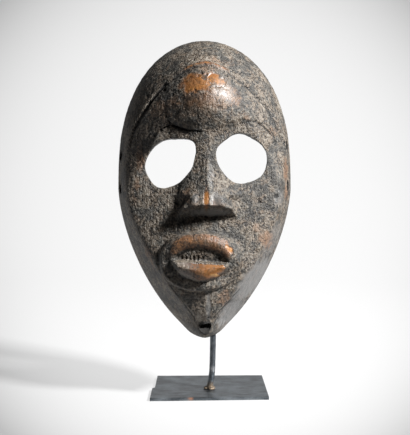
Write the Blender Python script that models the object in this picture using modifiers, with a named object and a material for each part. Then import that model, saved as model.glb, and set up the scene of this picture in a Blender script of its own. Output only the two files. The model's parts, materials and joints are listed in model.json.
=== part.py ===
"""Carved wooden face mask on its display stand: a bent steel rod on a steel plate.

Units are metres, +Z is up, the face looks along -Y, and the origin is the middle of the plate's
underside. The mask is worked out in its own frame: x to the right, z up from the tip of the chin,
and a height towards the viewer over the flat back rim. Then it is leaned back and set on the stand.
"""
import math

import bmesh
import bpy
import numpy as np

# Where the mask stands: the tip of the chin on the plane of the back rim, and its lean backwards
MASK_PLACE = (-0.0040, -0.0134, 0.0450)
MASK_LEAN = math.radians(4.0)

# Outline of the back rim: an egg, widest at eye level, with a blunt point at the chin
HALF_WIDTH = 0.0692
WIDEST_Z = 0.1200
TOP_Z = 0.2379
CHIN_Z = -0.0002
CROWN_POWERS = (1.98, 2.58)
JAW_POWERS = (1.43, 1.61)
CHIN_BLUNTNESS = (0.30, 0.0065)

# Side wall and bevel that rise from the rim to the face
WALL_RISE = 0.215
JAW_SHARE = 0.80
JAW_FADE = (0.065, 0.105)
WALL_POWER = 0.90
CHIN_STEEPNESS = 2.2
CHIN_REACH = 0.010
CROWN_RISE = 0.118
CROWN_POWER = 0.60
CROWN_SHOULDER = 0.18
CROWN_SHOULDER_X = 0.040
CROWN_FADE = (0.125, 0.160)
FACE_EDGES = (0.0012, 0.0060)
FACE_EDGE_FADE = (0.045, 0.100)

# Cheeks and chin: nearly flat, keeled down the middle of the chin
FACE_MIDDLE_X = 0.0020
CHIN_HEIGHT = 0.0350
CHIN_FOOT_Z = 0.0140
CHIN_LEAN = 0.31
CHEEK_HEIGHT = 0.0440
CHIN_TOP_ROUNDNESS = 0.0020
CHIN_KEEL = (0.0015, 0.24)
CHEEK_KEEL = (0.0200, 0.25)
KEEL_FADE = (0.036, 0.070)

# Forehead: a keeled dome that overhangs the eyes
FOREHEAD_HEIGHT = 0.0585
FOREHEAD_MIDDLE_Z = 0.1820
FOREHEAD_TOP_KEEL = (0.0140, 0.50)
FOREHEAD_FOOT_KEEL = (0.0100, 0.42)
FOREHEAD_ROUNDNESS = 0.0180
FOREHEAD_SLOPES = (0.52, 0.78)
FOREHEAD_SLOPE_FADE = (0.155, 0.192)

# Brow: the lower edge of the forehead, an arch over each eye
BROW_Z = 0.1590
BROW_ARCHES = ((-0.0230, 0.0060, 0.0170), (0.0320, 0.0095, 0.0200))
BROW_END_X = 0.0330
BROW_END_SLOPE = 0.70
BROW_EDGE = 0.0034
BROW_MIDDLE_EDGE = 0.0120
BROW_MIDDLE_WIDTH = 0.0110
BROW_TEMPLE_X = 0.0360
BROW_TEMPLE_EDGE = 0.90

# Round eye holes in shallow sockets
LID_HEIGHT = 0.0045
LID_FADE = (0.1380, 0.1570)
LID_ENDS = (0.0560, 0.0400)
EYE_RADIUS = 0.0184
LEFT_EYE = (-0.0262, 0.1375)
RIGHT_EYE = (0.0288, 0.1417)
SOCKET_SIZE = (0.0330, 0.0300)
SOCKET_DEPTH = 0.0030
EYE_FLARE = 1.064
EYE_CUT = (-0.075, 0.010)

# Nose: a wedge with a sharp ridge and a flat base that is cut back towards the lip
NOSE_X = 0.0023
NOSE_TOP_Z = 0.1580
NOSE_TOP_HEIGHT = 0.0495
NOSE_TIP_Z = 0.1040
NOSE_TIP_HEIGHT = 0.0575
NOSE_HOLLOWNESS = 3.2
NOSE_RIDGES = (0.0050, 0.0009)
NOSE_RIDGE_FADE = (0.152, 0.128)
NOSE_SLOPE = 0.36
WING_HALF_WIDTH = 0.0178
WING_TAPER = 0.75
WING_FADE_Z = 0.1045
NOSE_FLANKS = (0.20, 2.2)
NOSE_FLANK_START = 0.0120
NOSE_FLANK_FADE = (0.1135, 0.1040)
NOSE_SKIRT = (0.0190, 0.35)
NOSE_FOOT_ROUNDNESS = 0.0030
NOSE_BASE_ROUNDNESS = 0.0006
NOSE_ROOT = (0.90, 0.0060)
NOSE_BASE_Z = 0.0968
NOSE_BASE_HEIGHT = 0.0425
NOSE_BASE_SLOPE = 1.75
NOSTRIL_OFFSET = 0.0105
NOSTRIL_Z = 0.1085
NOSTRIL_SIZE = (0.0046, 0.0060)
NOSTRIL_HEIGHT = 0.0030

# Mouth: a raised oval pod that carries a long upper lip, a gap and a pouting lower lip
POD_CENTRE = (-0.0025, 0.0630)
POD_SIZE = (0.0302, 0.0215)
POD_POWER = 2.3
POD_HEIGHT = 0.0054
POD_EDGE = (1.07, 0.95)
POD_FOOT = (0.0620, 0.0480)
POD_FOOT_FADE = 0.85
LIP_LINE = (-0.0032, 0.0632, -0.06)
GAP_HALF_WIDTH = 0.0215
GAP_RISE = 0.0090
GAP_POINT = 0.85
GAP_EDGE = 0.0010
GAP_FADE = (0.0, 0.0040)
GAP_DEPTH = 0.0018
UPPER_LIP_HEIGHT = 0.0036
UPPER_LIP_SHAPE = 0.95
UPPER_LIP_FADE = (1.0, 0.60)
LOWER_LIP_HALF_WIDTH = 0.0235
LOWER_LIP_DROP = 0.0150
LOWER_LIP_HEIGHT = 0.0062
LOWER_LIP_POINT = 0.75
LOWER_LIP_SHAPE = 0.6
LOWER_LIP_FADE = (0.0, 0.0090)
LEAST = 1e-5

# Hollow at the back
RIM_WIDTH = 0.0078
WALL_THICKNESS = 0.0078
HOLLOW_ROUNDING = 0.0080
HOLLOW_BROW = 0.014

# Drilled holes: lace holes in the side walls (side, z, height over the rim), and one in the chin
LACE_HOLE_RADIUS = 0.0036
LACE_HOLE_CUT = ((0.010, -0.002), (-0.024, 0.001))
LACE_HOLES = ((-1, 0.1450, 0.0095), (-1, 0.1190, 0.0095), (1, 0.1530, 0.0130), (1, 0.1212, 0.0130))
CHIN_HOLE = (0.0004, 0.0098)
CHIN_HOLE_SIZE = (0.0046, 0.0025)
CHIN_HOLE_RISE = math.radians(44.0)
CHIN_HOLE_REACH = (0.008, 0.020)

# Fineness of the carving before and after it is thinned
SPOKES = 220
RINGS = 110
RING_CROWDING = 1.25
THINNED_SHARE = 0.096

# Steel plate: cut by hand, not quite square, with a step in its left edge
PLATE_THICKNESS = 0.0025
PLATE_LEFT = -0.0466
PLATE_STEP = 0.0021
PLATE_STEP_Y = -0.0073
PLATE_RIGHT = (0.0466, 0.0455)
PLATE_FRONT = (-0.0386, -0.0342)
PLATE_BACK = (0.0352, 0.0370)
PLATE_CORNER = 0.0012
PLATE_EDGE = 0.0003

# Steel rod: welded to the plate, kinked above the weld, then up behind the chin into the hollow
ROD_RADIUS = 0.0025
ROD_FOOT = (0.0000, -0.0100)
ROD_KINK = (0.0022, -0.0099, 0.0160)
ROD_CHIN = (0.0030, -0.0100, 0.0460)
ROD_EYES = (-0.0005, -0.0092, 0.1500)
ROD_NECK = (-0.0030, -0.0110, 0.2020)
ROD_TIP = (-0.0038, -0.0443, 0.2436)
ROD_BENDS = (0.004, 0.012, 0.020, 0.018)
ROD_SIDES_RESOLUTION = 2
ROD_STEPS = 5
WELD_LUMPS = 5
WELD_RADIUS = 0.0021
WELD_SPREAD = 0.0027
WELD_START = math.radians(-70.0)
WELD_TURN = math.radians(52.0)
WELD_CHANGE = 0.15
WELD_FLATNESS = 0.9
WELD_FOOT = 0.0002
GAP = 0.0003


def smooth_step(low, high, value):
    """Ramp from 0 at low to 1 at high, level at both ends; low may be the larger one."""
    t = np.clip((value - low) / (high - low), 0.0, 1.0)
    return t * t * (3.0 - 2.0 * t)


def soft_min(first, second, rounding):
    """The lower of two heights, with the edge between them rounded."""
    return 0.5 * (first + second - np.sqrt((first - second) ** 2 + rounding ** 2))


def soft_max(first, second, rounding):
    """The higher of two heights, with the corner between them filled."""
    return 0.5 * (first + second + np.sqrt((first - second) ** 2 + rounding ** 2))


def keel(offset, shape):
    """Drop of a ridge beside its crest: shape is the crest's roundness and the slope of its sides."""
    roundness, slope = shape
    return slope * (np.sqrt(offset ** 2 + roundness ** 2) - roundness)


def swell(t, power=0.7):
    """A rounded swelling: 1 in the middle, 0 from t = -1 and t = 1 outwards."""
    return np.clip(1.0 - t * t, 0.0, 1.0) ** power


def between(low, high, value, power):
    """A rounded swelling between two lines, 0 outside them."""
    return swell((2.0 * value - low - high) / np.maximum(high - low, LEAST), power)


def rim_point(angle, inset=0.0):
    """A point of the egg-shaped rim, inset from the outer one; angle 0 is at the right, widest."""
    powers = CROWN_POWERS if math.sin(angle) >= 0.0 else JAW_POWERS
    tall = (TOP_Z - WIDEST_Z if math.sin(angle) >= 0.0 else WIDEST_Z - CHIN_Z) - inset
    across = abs(math.cos(angle)) ** (2.0 / powers[0])
    along = abs(math.sin(angle)) ** (2.0 / powers[1])
    z = WIDEST_Z + tall * math.copysign(along, math.sin(angle))
    share, height = CHIN_BLUNTNESS
    blunter = 1.0 + share * math.exp(-((z - CHIN_Z - inset) / height) ** 2)
    x = (HALF_WIDTH - inset) * math.copysign(across, math.cos(angle)) * blunter
    return x, z


def side_wall(x, z, reach):
    """Height of the wall that climbs from the rim: steep at the sides and chin, sloped at the crown.

    reach is 0 in the middle of the face and 1 on the rim.
    """
    inward = np.clip(1.0 - reach, 0.0, 1.0)
    jaw = JAW_SHARE + (1.0 - JAW_SHARE) * smooth_step(*JAW_FADE, z)
    chin = 1.0 + CHIN_STEEPNESS * np.exp(-(np.clip(z, 0.0, None) / CHIN_REACH) ** 2)
    side = WALL_RISE * jaw * chin * inward ** WALL_POWER
    shoulder = 1.0 - CROWN_SHOULDER * smooth_step(0.0, CROWN_SHOULDER_X, np.abs(x))
    crown = CROWN_RISE * shoulder * inward ** CROWN_POWER
    return side + (crown - side) * smooth_step(*CROWN_FADE, z)


def cheeks(x, z):
    """The plain of the face: a leaning, sharply keeled chin that widens into nearly flat cheeks."""
    middle = soft_min(CHIN_HEIGHT + CHIN_LEAN * (z - CHIN_FOOT_Z), CHEEK_HEIGHT, CHIN_TOP_ROUNDNESS)
    fade = smooth_step(*KEEL_FADE, z)
    offset = x - FACE_MIDDLE_X
    return middle - keel(offset, CHIN_KEEL) * (1.0 - fade) - keel(offset, CHEEK_KEEL) * fade


def forehead(x, z):
    """The forehead's dome, keeled both ways, fullest above the brow."""
    rise = z - FOREHEAD_MIDDLE_Z
    fall = np.where(rise > 0.0, keel(rise, FOREHEAD_TOP_KEEL), keel(rise, FOREHEAD_FOOT_KEEL))
    steeper = smooth_step(*FOREHEAD_SLOPE_FADE, z)
    slope = FOREHEAD_SLOPES[0] + (FOREHEAD_SLOPES[1] - FOREHEAD_SLOPES[0]) * steeper
    return FOREHEAD_HEIGHT - fall - keel(x - FACE_MIDDLE_X, (FOREHEAD_ROUNDNESS, slope))


def brow_line(x):
    """Height up the face of the brow's edge: an arch over each eye, falling away at the temples."""
    line = BROW_Z - BROW_END_SLOPE * np.clip(np.abs(x) - BROW_END_X, 0.0, None)
    for middle, rise, width in BROW_ARCHES:
        line = line + rise * np.exp(-((x - middle) / width) ** 2)
    return line


def sockets(x, z):
    """Depth of the shallow bowls around the eye holes, less the height of the lids above them."""
    depth = 0.0
    for centre_x, centre_z in (LEFT_EYE, RIGHT_EYE):
        across = (x - centre_x) / SOCKET_SIZE[0]
        along = (z - centre_z) / SOCKET_SIZE[1]
        depth = np.maximum(depth, SOCKET_DEPTH * np.clip(1.0 - across ** 2 - along ** 2, 0.0, 1.0) ** 2)
    return depth - LID_HEIGHT * smooth_step(*LID_FADE, z) * smooth_step(*LID_ENDS, np.abs(x))


def nose(x, z):
    """The nose: a ridge whose flanks run out into the cheeks, wide wings, and a base cut back beneath."""
    down = np.clip((NOSE_TOP_Z - z) / (NOSE_TOP_Z - NOSE_TIP_Z), 0.0, 1.05)
    ridge = NOSE_TOP_HEIGHT + (NOSE_TIP_HEIGHT - NOSE_TOP_HEIGHT) * down ** NOSE_HOLLOWNESS
    offset = np.abs(x - NOSE_X)
    sharper = smooth_step(*NOSE_RIDGE_FADE, z)
    roundness = NOSE_RIDGES[0] + (NOSE_RIDGES[1] - NOSE_RIDGES[0]) * sharper
    height = ridge - keel(offset, (roundness, NOSE_SLOPE))
    across = (offset - NOSTRIL_OFFSET) / NOSTRIL_SIZE[0]
    along = (z - NOSTRIL_Z) / NOSTRIL_SIZE[1]
    height = height + NOSTRIL_HEIGHT * np.exp(-across ** 2 - along ** 2)
    wing = WING_HALF_WIDTH - WING_TAPER * np.clip(z - WING_FADE_Z, 0.0, None)
    winged = smooth_step(*NOSE_FLANK_FADE, z)
    plain = NOSE_FLANKS[0] * np.clip(offset - NOSE_FLANK_START, 0.0, None)
    plain = plain + NOSE_SKIRT[1] * np.clip(offset - NOSE_SKIRT[0], 0.0, None)
    height = height - plain - (NOSE_FLANKS[1] * np.clip(offset - wing, 0.0, None) - plain) * winged
    base = NOSE_BASE_HEIGHT + NOSE_BASE_SLOPE * (z - NOSE_BASE_Z)
    slope, roundness = NOSE_ROOT
    root = NOSE_TOP_HEIGHT - slope * (z - NOSE_TOP_Z)
    return soft_min(soft_min(height, base, NOSE_BASE_ROUNDNESS), root, roundness)


def mouth(x, z):
    """Extra height of the mouth: an oval pod with a crisp edge, its upper lip, gap and lower lip."""
    across = np.abs(x - POD_CENTRE[0]) / POD_SIZE[0]
    along = np.abs(z - POD_CENTRE[1]) / POD_SIZE[1]
    reach = (across ** POD_POWER + along ** POD_POWER) ** (1.0 / POD_POWER)
    pod_top = POD_CENTRE[1] + POD_SIZE[1] * swell(across, 1.0 / POD_POWER)
    lip_x, lip_z, tilt = LIP_LINE
    lip_line = lip_z + tilt * (x - lip_x)
    gap_top = lip_line + GAP_RISE * swell((x - lip_x) / GAP_HALF_WIDTH, GAP_POINT)
    lip_foot = lip_line - LOWER_LIP_DROP * swell((x - lip_x) / LOWER_LIP_HALF_WIDTH, LOWER_LIP_POINT)
    upper = between(gap_top, pod_top, z, UPPER_LIP_SHAPE)
    lower = between(lip_foot, lip_line, z, LOWER_LIP_SHAPE)
    depth = np.clip((gap_top - z) / np.maximum(gap_top - lip_line, LEAST), 0.0, 1.0)
    gap = depth * smooth_step(-GAP_EDGE, GAP_EDGE, z - lip_line) * smooth_step(*GAP_FADE, gap_top - lip_line)
    upper = UPPER_LIP_HEIGHT * upper * smooth_step(*UPPER_LIP_FADE, across)
    lower = LOWER_LIP_HEIGHT * lower * smooth_step(*LOWER_LIP_FADE, lip_line - lip_foot)
    foot_fade = 1.0 - POD_FOOT_FADE * smooth_step(0.0, POD_SIZE[0], x) * smooth_step(*POD_FOOT, z)
    return POD_HEIGHT * smooth_step(*POD_EDGE, reach) * foot_fade + upper + lower - GAP_DEPTH * gap


def carving(x, z, reach):
    """Height of the mask's front over the plane of its back rim."""
    face = cheeks(x, z) - sockets(x, z)
    brow_edge = BROW_EDGE + BROW_MIDDLE_EDGE * np.exp(-((x - NOSE_X) / BROW_MIDDLE_WIDTH) ** 2)
    brow_edge = brow_edge + BROW_TEMPLE_EDGE * np.clip(np.abs(x) - BROW_TEMPLE_X, 0.0, None)
    over = smooth_step(-1.0, 1.0, (z - brow_line(x)) / brow_edge)
    face = face + (forehead(x, z) - face) * over
    face = soft_max(face, nose(x, z), NOSE_FOOT_ROUNDNESS) + mouth(x, z)
    edge = FACE_EDGES[0] + (FACE_EDGES[1] - FACE_EDGES[0]) * smooth_step(*FACE_EDGE_FADE, z)
    return soft_min(face, side_wall(x, z, reach), edge * smooth_step(1.0, 0.96, reach))


def hollow(x, z, reach):
    """Height of the hollow's floor over the rim: a smoother copy of the front, a wall thickness behind."""
    wall = side_wall(x, z - RIM_WIDTH, reach)
    plain = cheeks(x, z) - SOCKET_DEPTH * 0.45
    over = smooth_step(-HOLLOW_BROW, HOLLOW_BROW, z - brow_line(x))
    face = plain + (forehead(x, z) - plain) * over - WALL_THICKNESS
    return soft_min(face, wall, HOLLOW_ROUNDING * smooth_step(0.0, 0.020, wall))


def mask_solid(name):
    """A sphere pressed into a bowl: its near half is the carving, its far half lines the hollow.

    The sphere's equator is the outer edge of the rim, and the ring behind it the rim's inner edge.
    """
    shape = bmesh.new()
    bmesh.ops.create_uvsphere(shape, u_segments=SPOKES, v_segments=2 * RINGS, radius=1.0)
    ring = 1.0 / RINGS
    near_half = [v for v in shape.verts if v.co.z > -1e-4]
    far_half = [v for v in shape.verts if v.co.z <= -1e-4]
    for half, inset, height in ((near_half, 0.0, carving), (far_half, RIM_WIDTH, hollow)):
        angles = [math.atan2(v.co.y, v.co.x) for v in half]
        reach = np.array([2.0 / math.pi * math.acos(min(1.0, abs(v.co.z))) for v in half])
        if half is far_half:
            reach = reach / (1.0 - ring)
        spread = 1.0 - (1.0 - np.clip(reach, 0.0, 1.0)) ** RING_CROWDING
        rim = np.array([rim_point(angle, inset) for angle in angles])
        x = spread * rim[:, 0]
        z = WIDEST_Z + spread * (rim[:, 1] - WIDEST_Z)
        lift = np.where(reach > 1.0 - 0.1 * ring, 0.0, height(x, z, spread))
        for vertex, place in zip(half, zip(x, -lift, z)):
            vertex.co = place
    bmesh.ops.triangulate(shape, faces=[f for f in shape.faces if len(f.verts) > 3])
    return mesh_from(shape, name)


def new_object(name, mesh, home):
    """Put a mesh in the scene as a named object of a collection."""
    thing = bpy.data.objects.new(name, mesh)
    home.objects.link(thing)
    return thing


def mesh_from(shape, name):
    """Turn a bmesh into a mesh whose faces point outwards."""
    shape.normal_update()
    bmesh.ops.recalc_face_normals(shape, faces=shape.faces)
    mesh = bpy.data.meshes.new(name)
    shape.to_mesh(mesh)
    shape.free()
    return mesh


def steel(name, colour, roughness):
    """A metal's plain colour and finish."""
    return surface(name, colour, roughness, 1.0)


def surface(name, colour, roughness, metallic):
    """A Principled material of one colour."""
    material = bpy.data.materials.new(name)
    material.use_nodes = True
    shader = material.node_tree.nodes["Principled BSDF"]
    shader.inputs["Base Color"].default_value = (*colour, 1.0)
    shader.inputs["Roughness"].default_value = roughness
    shader.inputs["Metallic"].default_value = metallic
    return material


def cut(thing, cutter):
    """Take the cutter's shape out of a solid."""
    modifier = thing.modifiers.new(cutter.name, "BOOLEAN")
    modifier.operation = "DIFFERENCE"
    modifier.solver = "EXACT"
    modifier.object = cutter
    cutter.hide_render = True
    cutter.display_type = "WIRE"


def drill(name, radius_at, start, end, flare, home, sides=40):
    """A cutter between two points whose radius follows a function of the angle round its axis."""
    shape = bmesh.new()
    length = math.dist(start, end)
    bmesh.ops.create_cone(shape, cap_ends=True, segments=sides, radius1=1.0, radius2=1.0, depth=length)
    axis = np.subtract(end, start) / length
    side = np.cross(axis, (0.0, 0.0, 1.0))
    side = side / np.linalg.norm(side)
    up = np.cross(side, axis)
    middle = np.add(start, end) / 2.0
    for vertex in shape.verts:
        angle = math.atan2(vertex.co.y, vertex.co.x)
        wide, tall = radius_at(angle)
        grow = flare if vertex.co.z < 0.0 else 1.0
        place = middle + axis * vertex.co.z
        place = place + side * (wide * grow * math.cos(angle)) + up * (tall * grow * math.sin(angle))
        vertex.co = place
    return new_object(name, mesh_from(shape, name), home)


def left_eye_radius(angle):
    """Nearly round, with a squarer corner up towards the nose and a flatter one below it."""
    degrees = math.degrees(angle)
    radius = EYE_RADIUS + 0.0046 * math.exp(-((degrees - 44.0) / 20.0) ** 2)
    radius -= 0.0024 * math.exp(-((degrees + 38.0) / 26.0) ** 2)
    return radius, radius


def right_eye_radius(angle):
    """Nearly round, a little wider than tall."""
    radius = EYE_RADIUS + 0.0005 * math.cos(2.0 * angle)
    return radius, radius


def round_radius(size):
    """The same oval all the way round."""
    return lambda angle: size


def build_mask(parts, cutters):
    """The mask with its eye, lace and chin holes, thinned to fewer faces, leaned back on the stand."""
    mask = new_object("mask", mask_solid("mask"), parts)
    holes = []
    before, behind = EYE_CUT
    for name, (x, z), radius in (("left_eye", LEFT_EYE, left_eye_radius),
                                 ("right_eye", RIGHT_EYE, right_eye_radius)):
        holes.append(drill(name, radius, (x, before, z), (x, behind, z), EYE_FLARE, cutters))
    for number, (side, z, height) in enumerate(LACE_HOLES, start=1):
        lace_name = f"lace_hole_{number}"
        outside, inside = [(side * (HALF_WIDTH + across), along - height, z) for across, along in LACE_HOLE_CUT]
        radii = round_radius((LACE_HOLE_RADIUS, LACE_HOLE_RADIUS))
        holes.append(drill(lace_name, radii, outside, inside, 1.0, cutters, sides=14))
    x, z = CHIN_HOLE
    rise = math.tan(CHIN_HOLE_RISE)
    before, behind = CHIN_HOLE_REACH
    outside = (x, -CHIN_HEIGHT - before, z - before * rise)
    inside = (x, -CHIN_HEIGHT + behind, z + behind * rise)
    holes.append(drill("chin_hole", round_radius(CHIN_HOLE_SIZE), outside, inside, 1.0, cutters, sides=18))
    for hole in holes:
        hole.rotation_euler.x = -MASK_LEAN
        hole.location = MASK_PLACE
        cut(mask, hole)
    thin = mask.modifiers.new("thin", "DECIMATE")
    thin.decimate_type = "COLLAPSE"
    thin.ratio = THINNED_SHARE
    mask.rotation_euler.x = -MASK_LEAN
    mask.location = MASK_PLACE
    mask.data.materials.append(surface("dark_wood", (0.075, 0.052, 0.036), 0.55, 0.0))
    return mask


def build_plate(parts):
    """The foot plate: a flat outline with a step in its left edge, as thick as the steel."""
    step_x = PLATE_LEFT + PLATE_STEP
    outline = [
        (PLATE_LEFT + PLATE_CORNER, PLATE_FRONT[0]),
        (PLATE_RIGHT[0], PLATE_FRONT[1]),
        (PLATE_RIGHT[1], PLATE_BACK[1]),
        (step_x, PLATE_BACK[0]),
        (step_x, PLATE_STEP_Y + PLATE_STEP),
        (PLATE_LEFT, PLATE_STEP_Y),
        (PLATE_LEFT, PLATE_FRONT[0] + PLATE_CORNER),
    ]
    curve = bpy.data.curves.new("plate_outline", "CURVE")
    curve.dimensions = "2D"
    curve.fill_mode = "BOTH"
    curve.extrude = PLATE_THICKNESS / 2.0
    line = curve.splines.new("POLY")
    line.points.add(len(outline) - 1)
    for point, (x, y) in zip(line.points, outline):
        point.co = (x, y, 0.0, 1.0)
    line.use_cyclic_u = True
    flat = new_object("plate_outline", curve, parts)
    plate = meshed(flat, "plate", parts)
    plate.location.z = PLATE_THICKNESS / 2.0
    soften = plate.modifiers.new("edge", "BEVEL")
    soften.width = PLATE_EDGE
    soften.segments = 1
    soften.limit_method = "ANGLE"
    plate.data.materials.append(steel("dark_steel", (0.12, 0.135, 0.15), 0.5))
    return plate


def meshed(curved, name, home):
    """A closed mesh object in place of a curve object, which goes."""
    bpy.context.view_layer.update()
    evaluated = curved.evaluated_get(bpy.context.evaluated_depsgraph_get())
    mesh = bpy.data.meshes.new_from_object(evaluated)
    mesh.name = name
    shape = bmesh.new()
    shape.from_mesh(mesh)
    bmesh.ops.remove_doubles(shape, verts=shape.verts, dist=1e-6)
    bmesh.ops.recalc_face_normals(shape, faces=shape.faces)
    shape.to_mesh(mesh)
    shape.free()
    thing = new_object(name, mesh, home)
    thing.matrix_world = curved.matrix_world.copy()
    bpy.data.objects.remove(curved)
    return thing


def rod_route():
    """Points up the middle of the rod: straight runs with each bend rounded."""
    lean = math.atan2(ROD_KINK[0] - ROD_FOOT[0], ROD_KINK[2] - PLATE_THICKNESS)
    foot = (ROD_FOOT[0], ROD_FOOT[1], PLATE_THICKNESS + GAP + ROD_RADIUS * math.sin(lean))
    corners = [foot, ROD_KINK, ROD_CHIN, ROD_EYES, ROD_NECK, ROD_TIP]
    route = [np.array(foot)]
    for before, corner, after, bend in zip(corners, corners[1:], corners[2:], ROD_BENDS):
        before, corner, after = np.array(before), np.array(corner), np.array(after)
        enter = corner + bend * (before - corner) / np.linalg.norm(before - corner)
        leave = corner + bend * (after - corner) / np.linalg.norm(after - corner)
        for step in range(ROD_STEPS + 1):
            t = step / ROD_STEPS
            route.append((1 - t) ** 2 * enter + 2 * t * (1 - t) * corner + t * t * leave)
    route.append(np.array(ROD_TIP))
    return route


def build_rod(parts, cutters):
    """The bent rod, with the lumps of its weld run round the foot."""
    curve = bpy.data.curves.new("rod_line", "CURVE")
    curve.dimensions = "3D"
    curve.bevel_depth = ROD_RADIUS
    curve.bevel_resolution = ROD_SIDES_RESOLUTION
    curve.use_fill_caps = True
    route = rod_route()
    line = curve.splines.new("POLY")
    line.points.add(len(route) - 1)
    for point, place in zip(line.points, route):
        point.co = (*place, 1.0)
    rod = meshed(new_object("rod_line", curve, parts), "rod", parts)
    for number in range(WELD_LUMPS):
        angle = WELD_START + WELD_TURN * number
        lump = bmesh.new()
        radius = WELD_RADIUS * (1.0 + WELD_CHANGE * (number % 2))
        bmesh.ops.create_icosphere(lump, subdivisions=2, radius=radius)
        for vertex in lump.verts:
            vertex.co.z = max(vertex.co.z * WELD_FLATNESS, -WELD_FOOT)
        bead = new_object(f"weld_{number}", mesh_from(lump, "weld"), cutters)
        bead.location = (ROD_FOOT[0] + WELD_SPREAD * math.cos(angle),
                         ROD_FOOT[1] + WELD_SPREAD * math.sin(angle),
                         PLATE_THICKNESS + GAP + WELD_FOOT)
        bead.hide_render = True
        bead.display_type = "WIRE"
        join = rod.modifiers.new(bead.name, "BOOLEAN")
        join.operation = "UNION"
        join.solver = "EXACT"
        join.object = bead
    rod.data.shade_smooth()
    rod.data.materials.append(steel("rod_steel", (0.12, 0.13, 0.14), 0.45))
    return rod


def main():
    """Build the mask on its stand in an empty scene."""
    for thing in list(bpy.data.objects):
        bpy.data.objects.remove(thing)
    parts = bpy.data.collections.new("carved_mask_on_stand")
    cutters = bpy.data.collections.new("cutters")
    for collection in (parts, cutters):
        bpy.context.scene.collection.children.link(collection)
    build_plate(parts)
    build_rod(parts, cutters)
    build_mask(parts, cutters)


main()
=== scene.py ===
# %% [markdown]
# # A carved wooden mask on its display stand
# The object is a hollow wooden face mask, dark with an old crust of patina and rubbed back to bare
# orange-brown wood on its forehead, nose and lips. It is held up by a bent steel rod that is
# welded to a small, hand-cut steel plate.
# This lesson dresses the measured solids of the mask, the rod and the plate: the big forms stay
# where the solids have them, and the crust, cracks, pits and colours are added here.

# %% Load the measured solids
import json
import math

import bpy
import bmesh
import numpy as np
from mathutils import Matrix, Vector

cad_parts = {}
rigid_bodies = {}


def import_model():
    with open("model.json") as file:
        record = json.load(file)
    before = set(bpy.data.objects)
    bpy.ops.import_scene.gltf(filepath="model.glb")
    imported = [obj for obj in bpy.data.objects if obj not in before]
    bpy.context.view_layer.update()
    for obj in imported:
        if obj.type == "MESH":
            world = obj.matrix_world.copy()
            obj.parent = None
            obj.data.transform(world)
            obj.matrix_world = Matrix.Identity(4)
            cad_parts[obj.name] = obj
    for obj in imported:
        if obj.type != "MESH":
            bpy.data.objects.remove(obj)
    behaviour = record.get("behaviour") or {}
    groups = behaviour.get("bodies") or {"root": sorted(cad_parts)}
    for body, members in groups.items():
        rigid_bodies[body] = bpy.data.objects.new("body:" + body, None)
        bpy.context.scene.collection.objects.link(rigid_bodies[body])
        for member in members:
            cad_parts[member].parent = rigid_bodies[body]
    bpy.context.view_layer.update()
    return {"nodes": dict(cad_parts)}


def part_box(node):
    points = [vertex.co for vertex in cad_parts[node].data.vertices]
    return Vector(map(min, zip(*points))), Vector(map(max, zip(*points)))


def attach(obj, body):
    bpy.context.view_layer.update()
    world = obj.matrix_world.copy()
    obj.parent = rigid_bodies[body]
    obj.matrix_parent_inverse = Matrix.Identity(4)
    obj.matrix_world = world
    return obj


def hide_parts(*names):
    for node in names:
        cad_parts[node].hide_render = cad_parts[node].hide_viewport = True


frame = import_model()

MM = 0.001
for name in frame["nodes"]:
    low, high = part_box(name)
    print("solid", name, [round(size / MM, 1) for size in high - low])

# %% [markdown]
# ## The camera and the room
# The photograph was taken from straight ahead, a little above the middle of the mask, with a
# longish lens. The place and tilt come from the four corners of the plate, the rod and the
# outline of the mask, so a camera at that place shows them where the photograph does.

# %% The camera
CAMERA_PLACE = (-0.0036, -0.7160, 0.1840)
CAMERA_PITCH = math.radians(3.46)
LENS_MM = 73.24
SENSOR_MM = 36.0

lens = bpy.data.cameras.new("camera")
lens.lens = LENS_MM
lens.sensor_width = SENSOR_MM
lens.sensor_fit = "AUTO"
camera = bpy.data.objects.new("camera", lens)
camera.location = CAMERA_PLACE
camera.rotation_euler = (math.radians(90.0) - CAMERA_PITCH, 0.0, 0.0)
bpy.context.scene.collection.objects.link(camera)
bpy.context.scene.camera = camera
print("camera", tuple(camera.location), "pitch", round(math.degrees(CAMERA_PITCH), 2))

# %% [markdown]
# A seamless white sheet runs from the table up the wall behind the mask, as in a photographer's
# studio. It is a flat plane: the wall is extruded from its back edge, and the fold between them is
# bevelled into a wide curve. A second sheet covers the table in front, out of the picture.

# %% The paper sweep
SWEEP_HALF_WIDTH = 2.6
SWEEP_FRONT = -0.15
TABLE_FRONT = -2.2
SWEEP_BACK = 1.5
SWEEP_TOP = 2.6
SWEEP_BEND = 0.9


def deselect_all():
    """Leave nothing selected, so that an operator acts only on what is chosen next."""
    for thing in bpy.context.view_layer.objects:
        thing.select_set(False)


def named(name):
    """The active object under its own name."""
    thing = bpy.context.active_object
    thing.name = name
    thing.data.name = name
    return thing


def settle():
    """Move the active object's place, turn and size into its mesh."""
    bpy.ops.object.transform_apply(location=True, rotation=True, scale=True)


def choose(thing, kind, test):
    """In edit mode, select only the vertices, edges or faces that pass a test on their middle and normal."""
    bpy.ops.mesh.select_mode(type=kind)
    shape = bmesh.from_edit_mesh(thing.data)
    shape.normal_update()
    shape.select_mode = {kind}
    parts = {"VERT": shape.verts, "EDGE": shape.edges, "FACE": shape.faces}[kind]
    for part in parts:
        part.select = False
    chosen = 0
    for part in parts:
        corners = [part] if kind == "VERT" else part.verts
        middle = sum((v.co for v in corners), Vector()) / len(corners)
        normal = Vector() if kind == "EDGE" else part.normal
        if test(middle, normal):
            part.select = True
            chosen += 1
    shape.select_flush_mode()
    bmesh.update_edit_mesh(thing.data)
    return chosen


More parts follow.
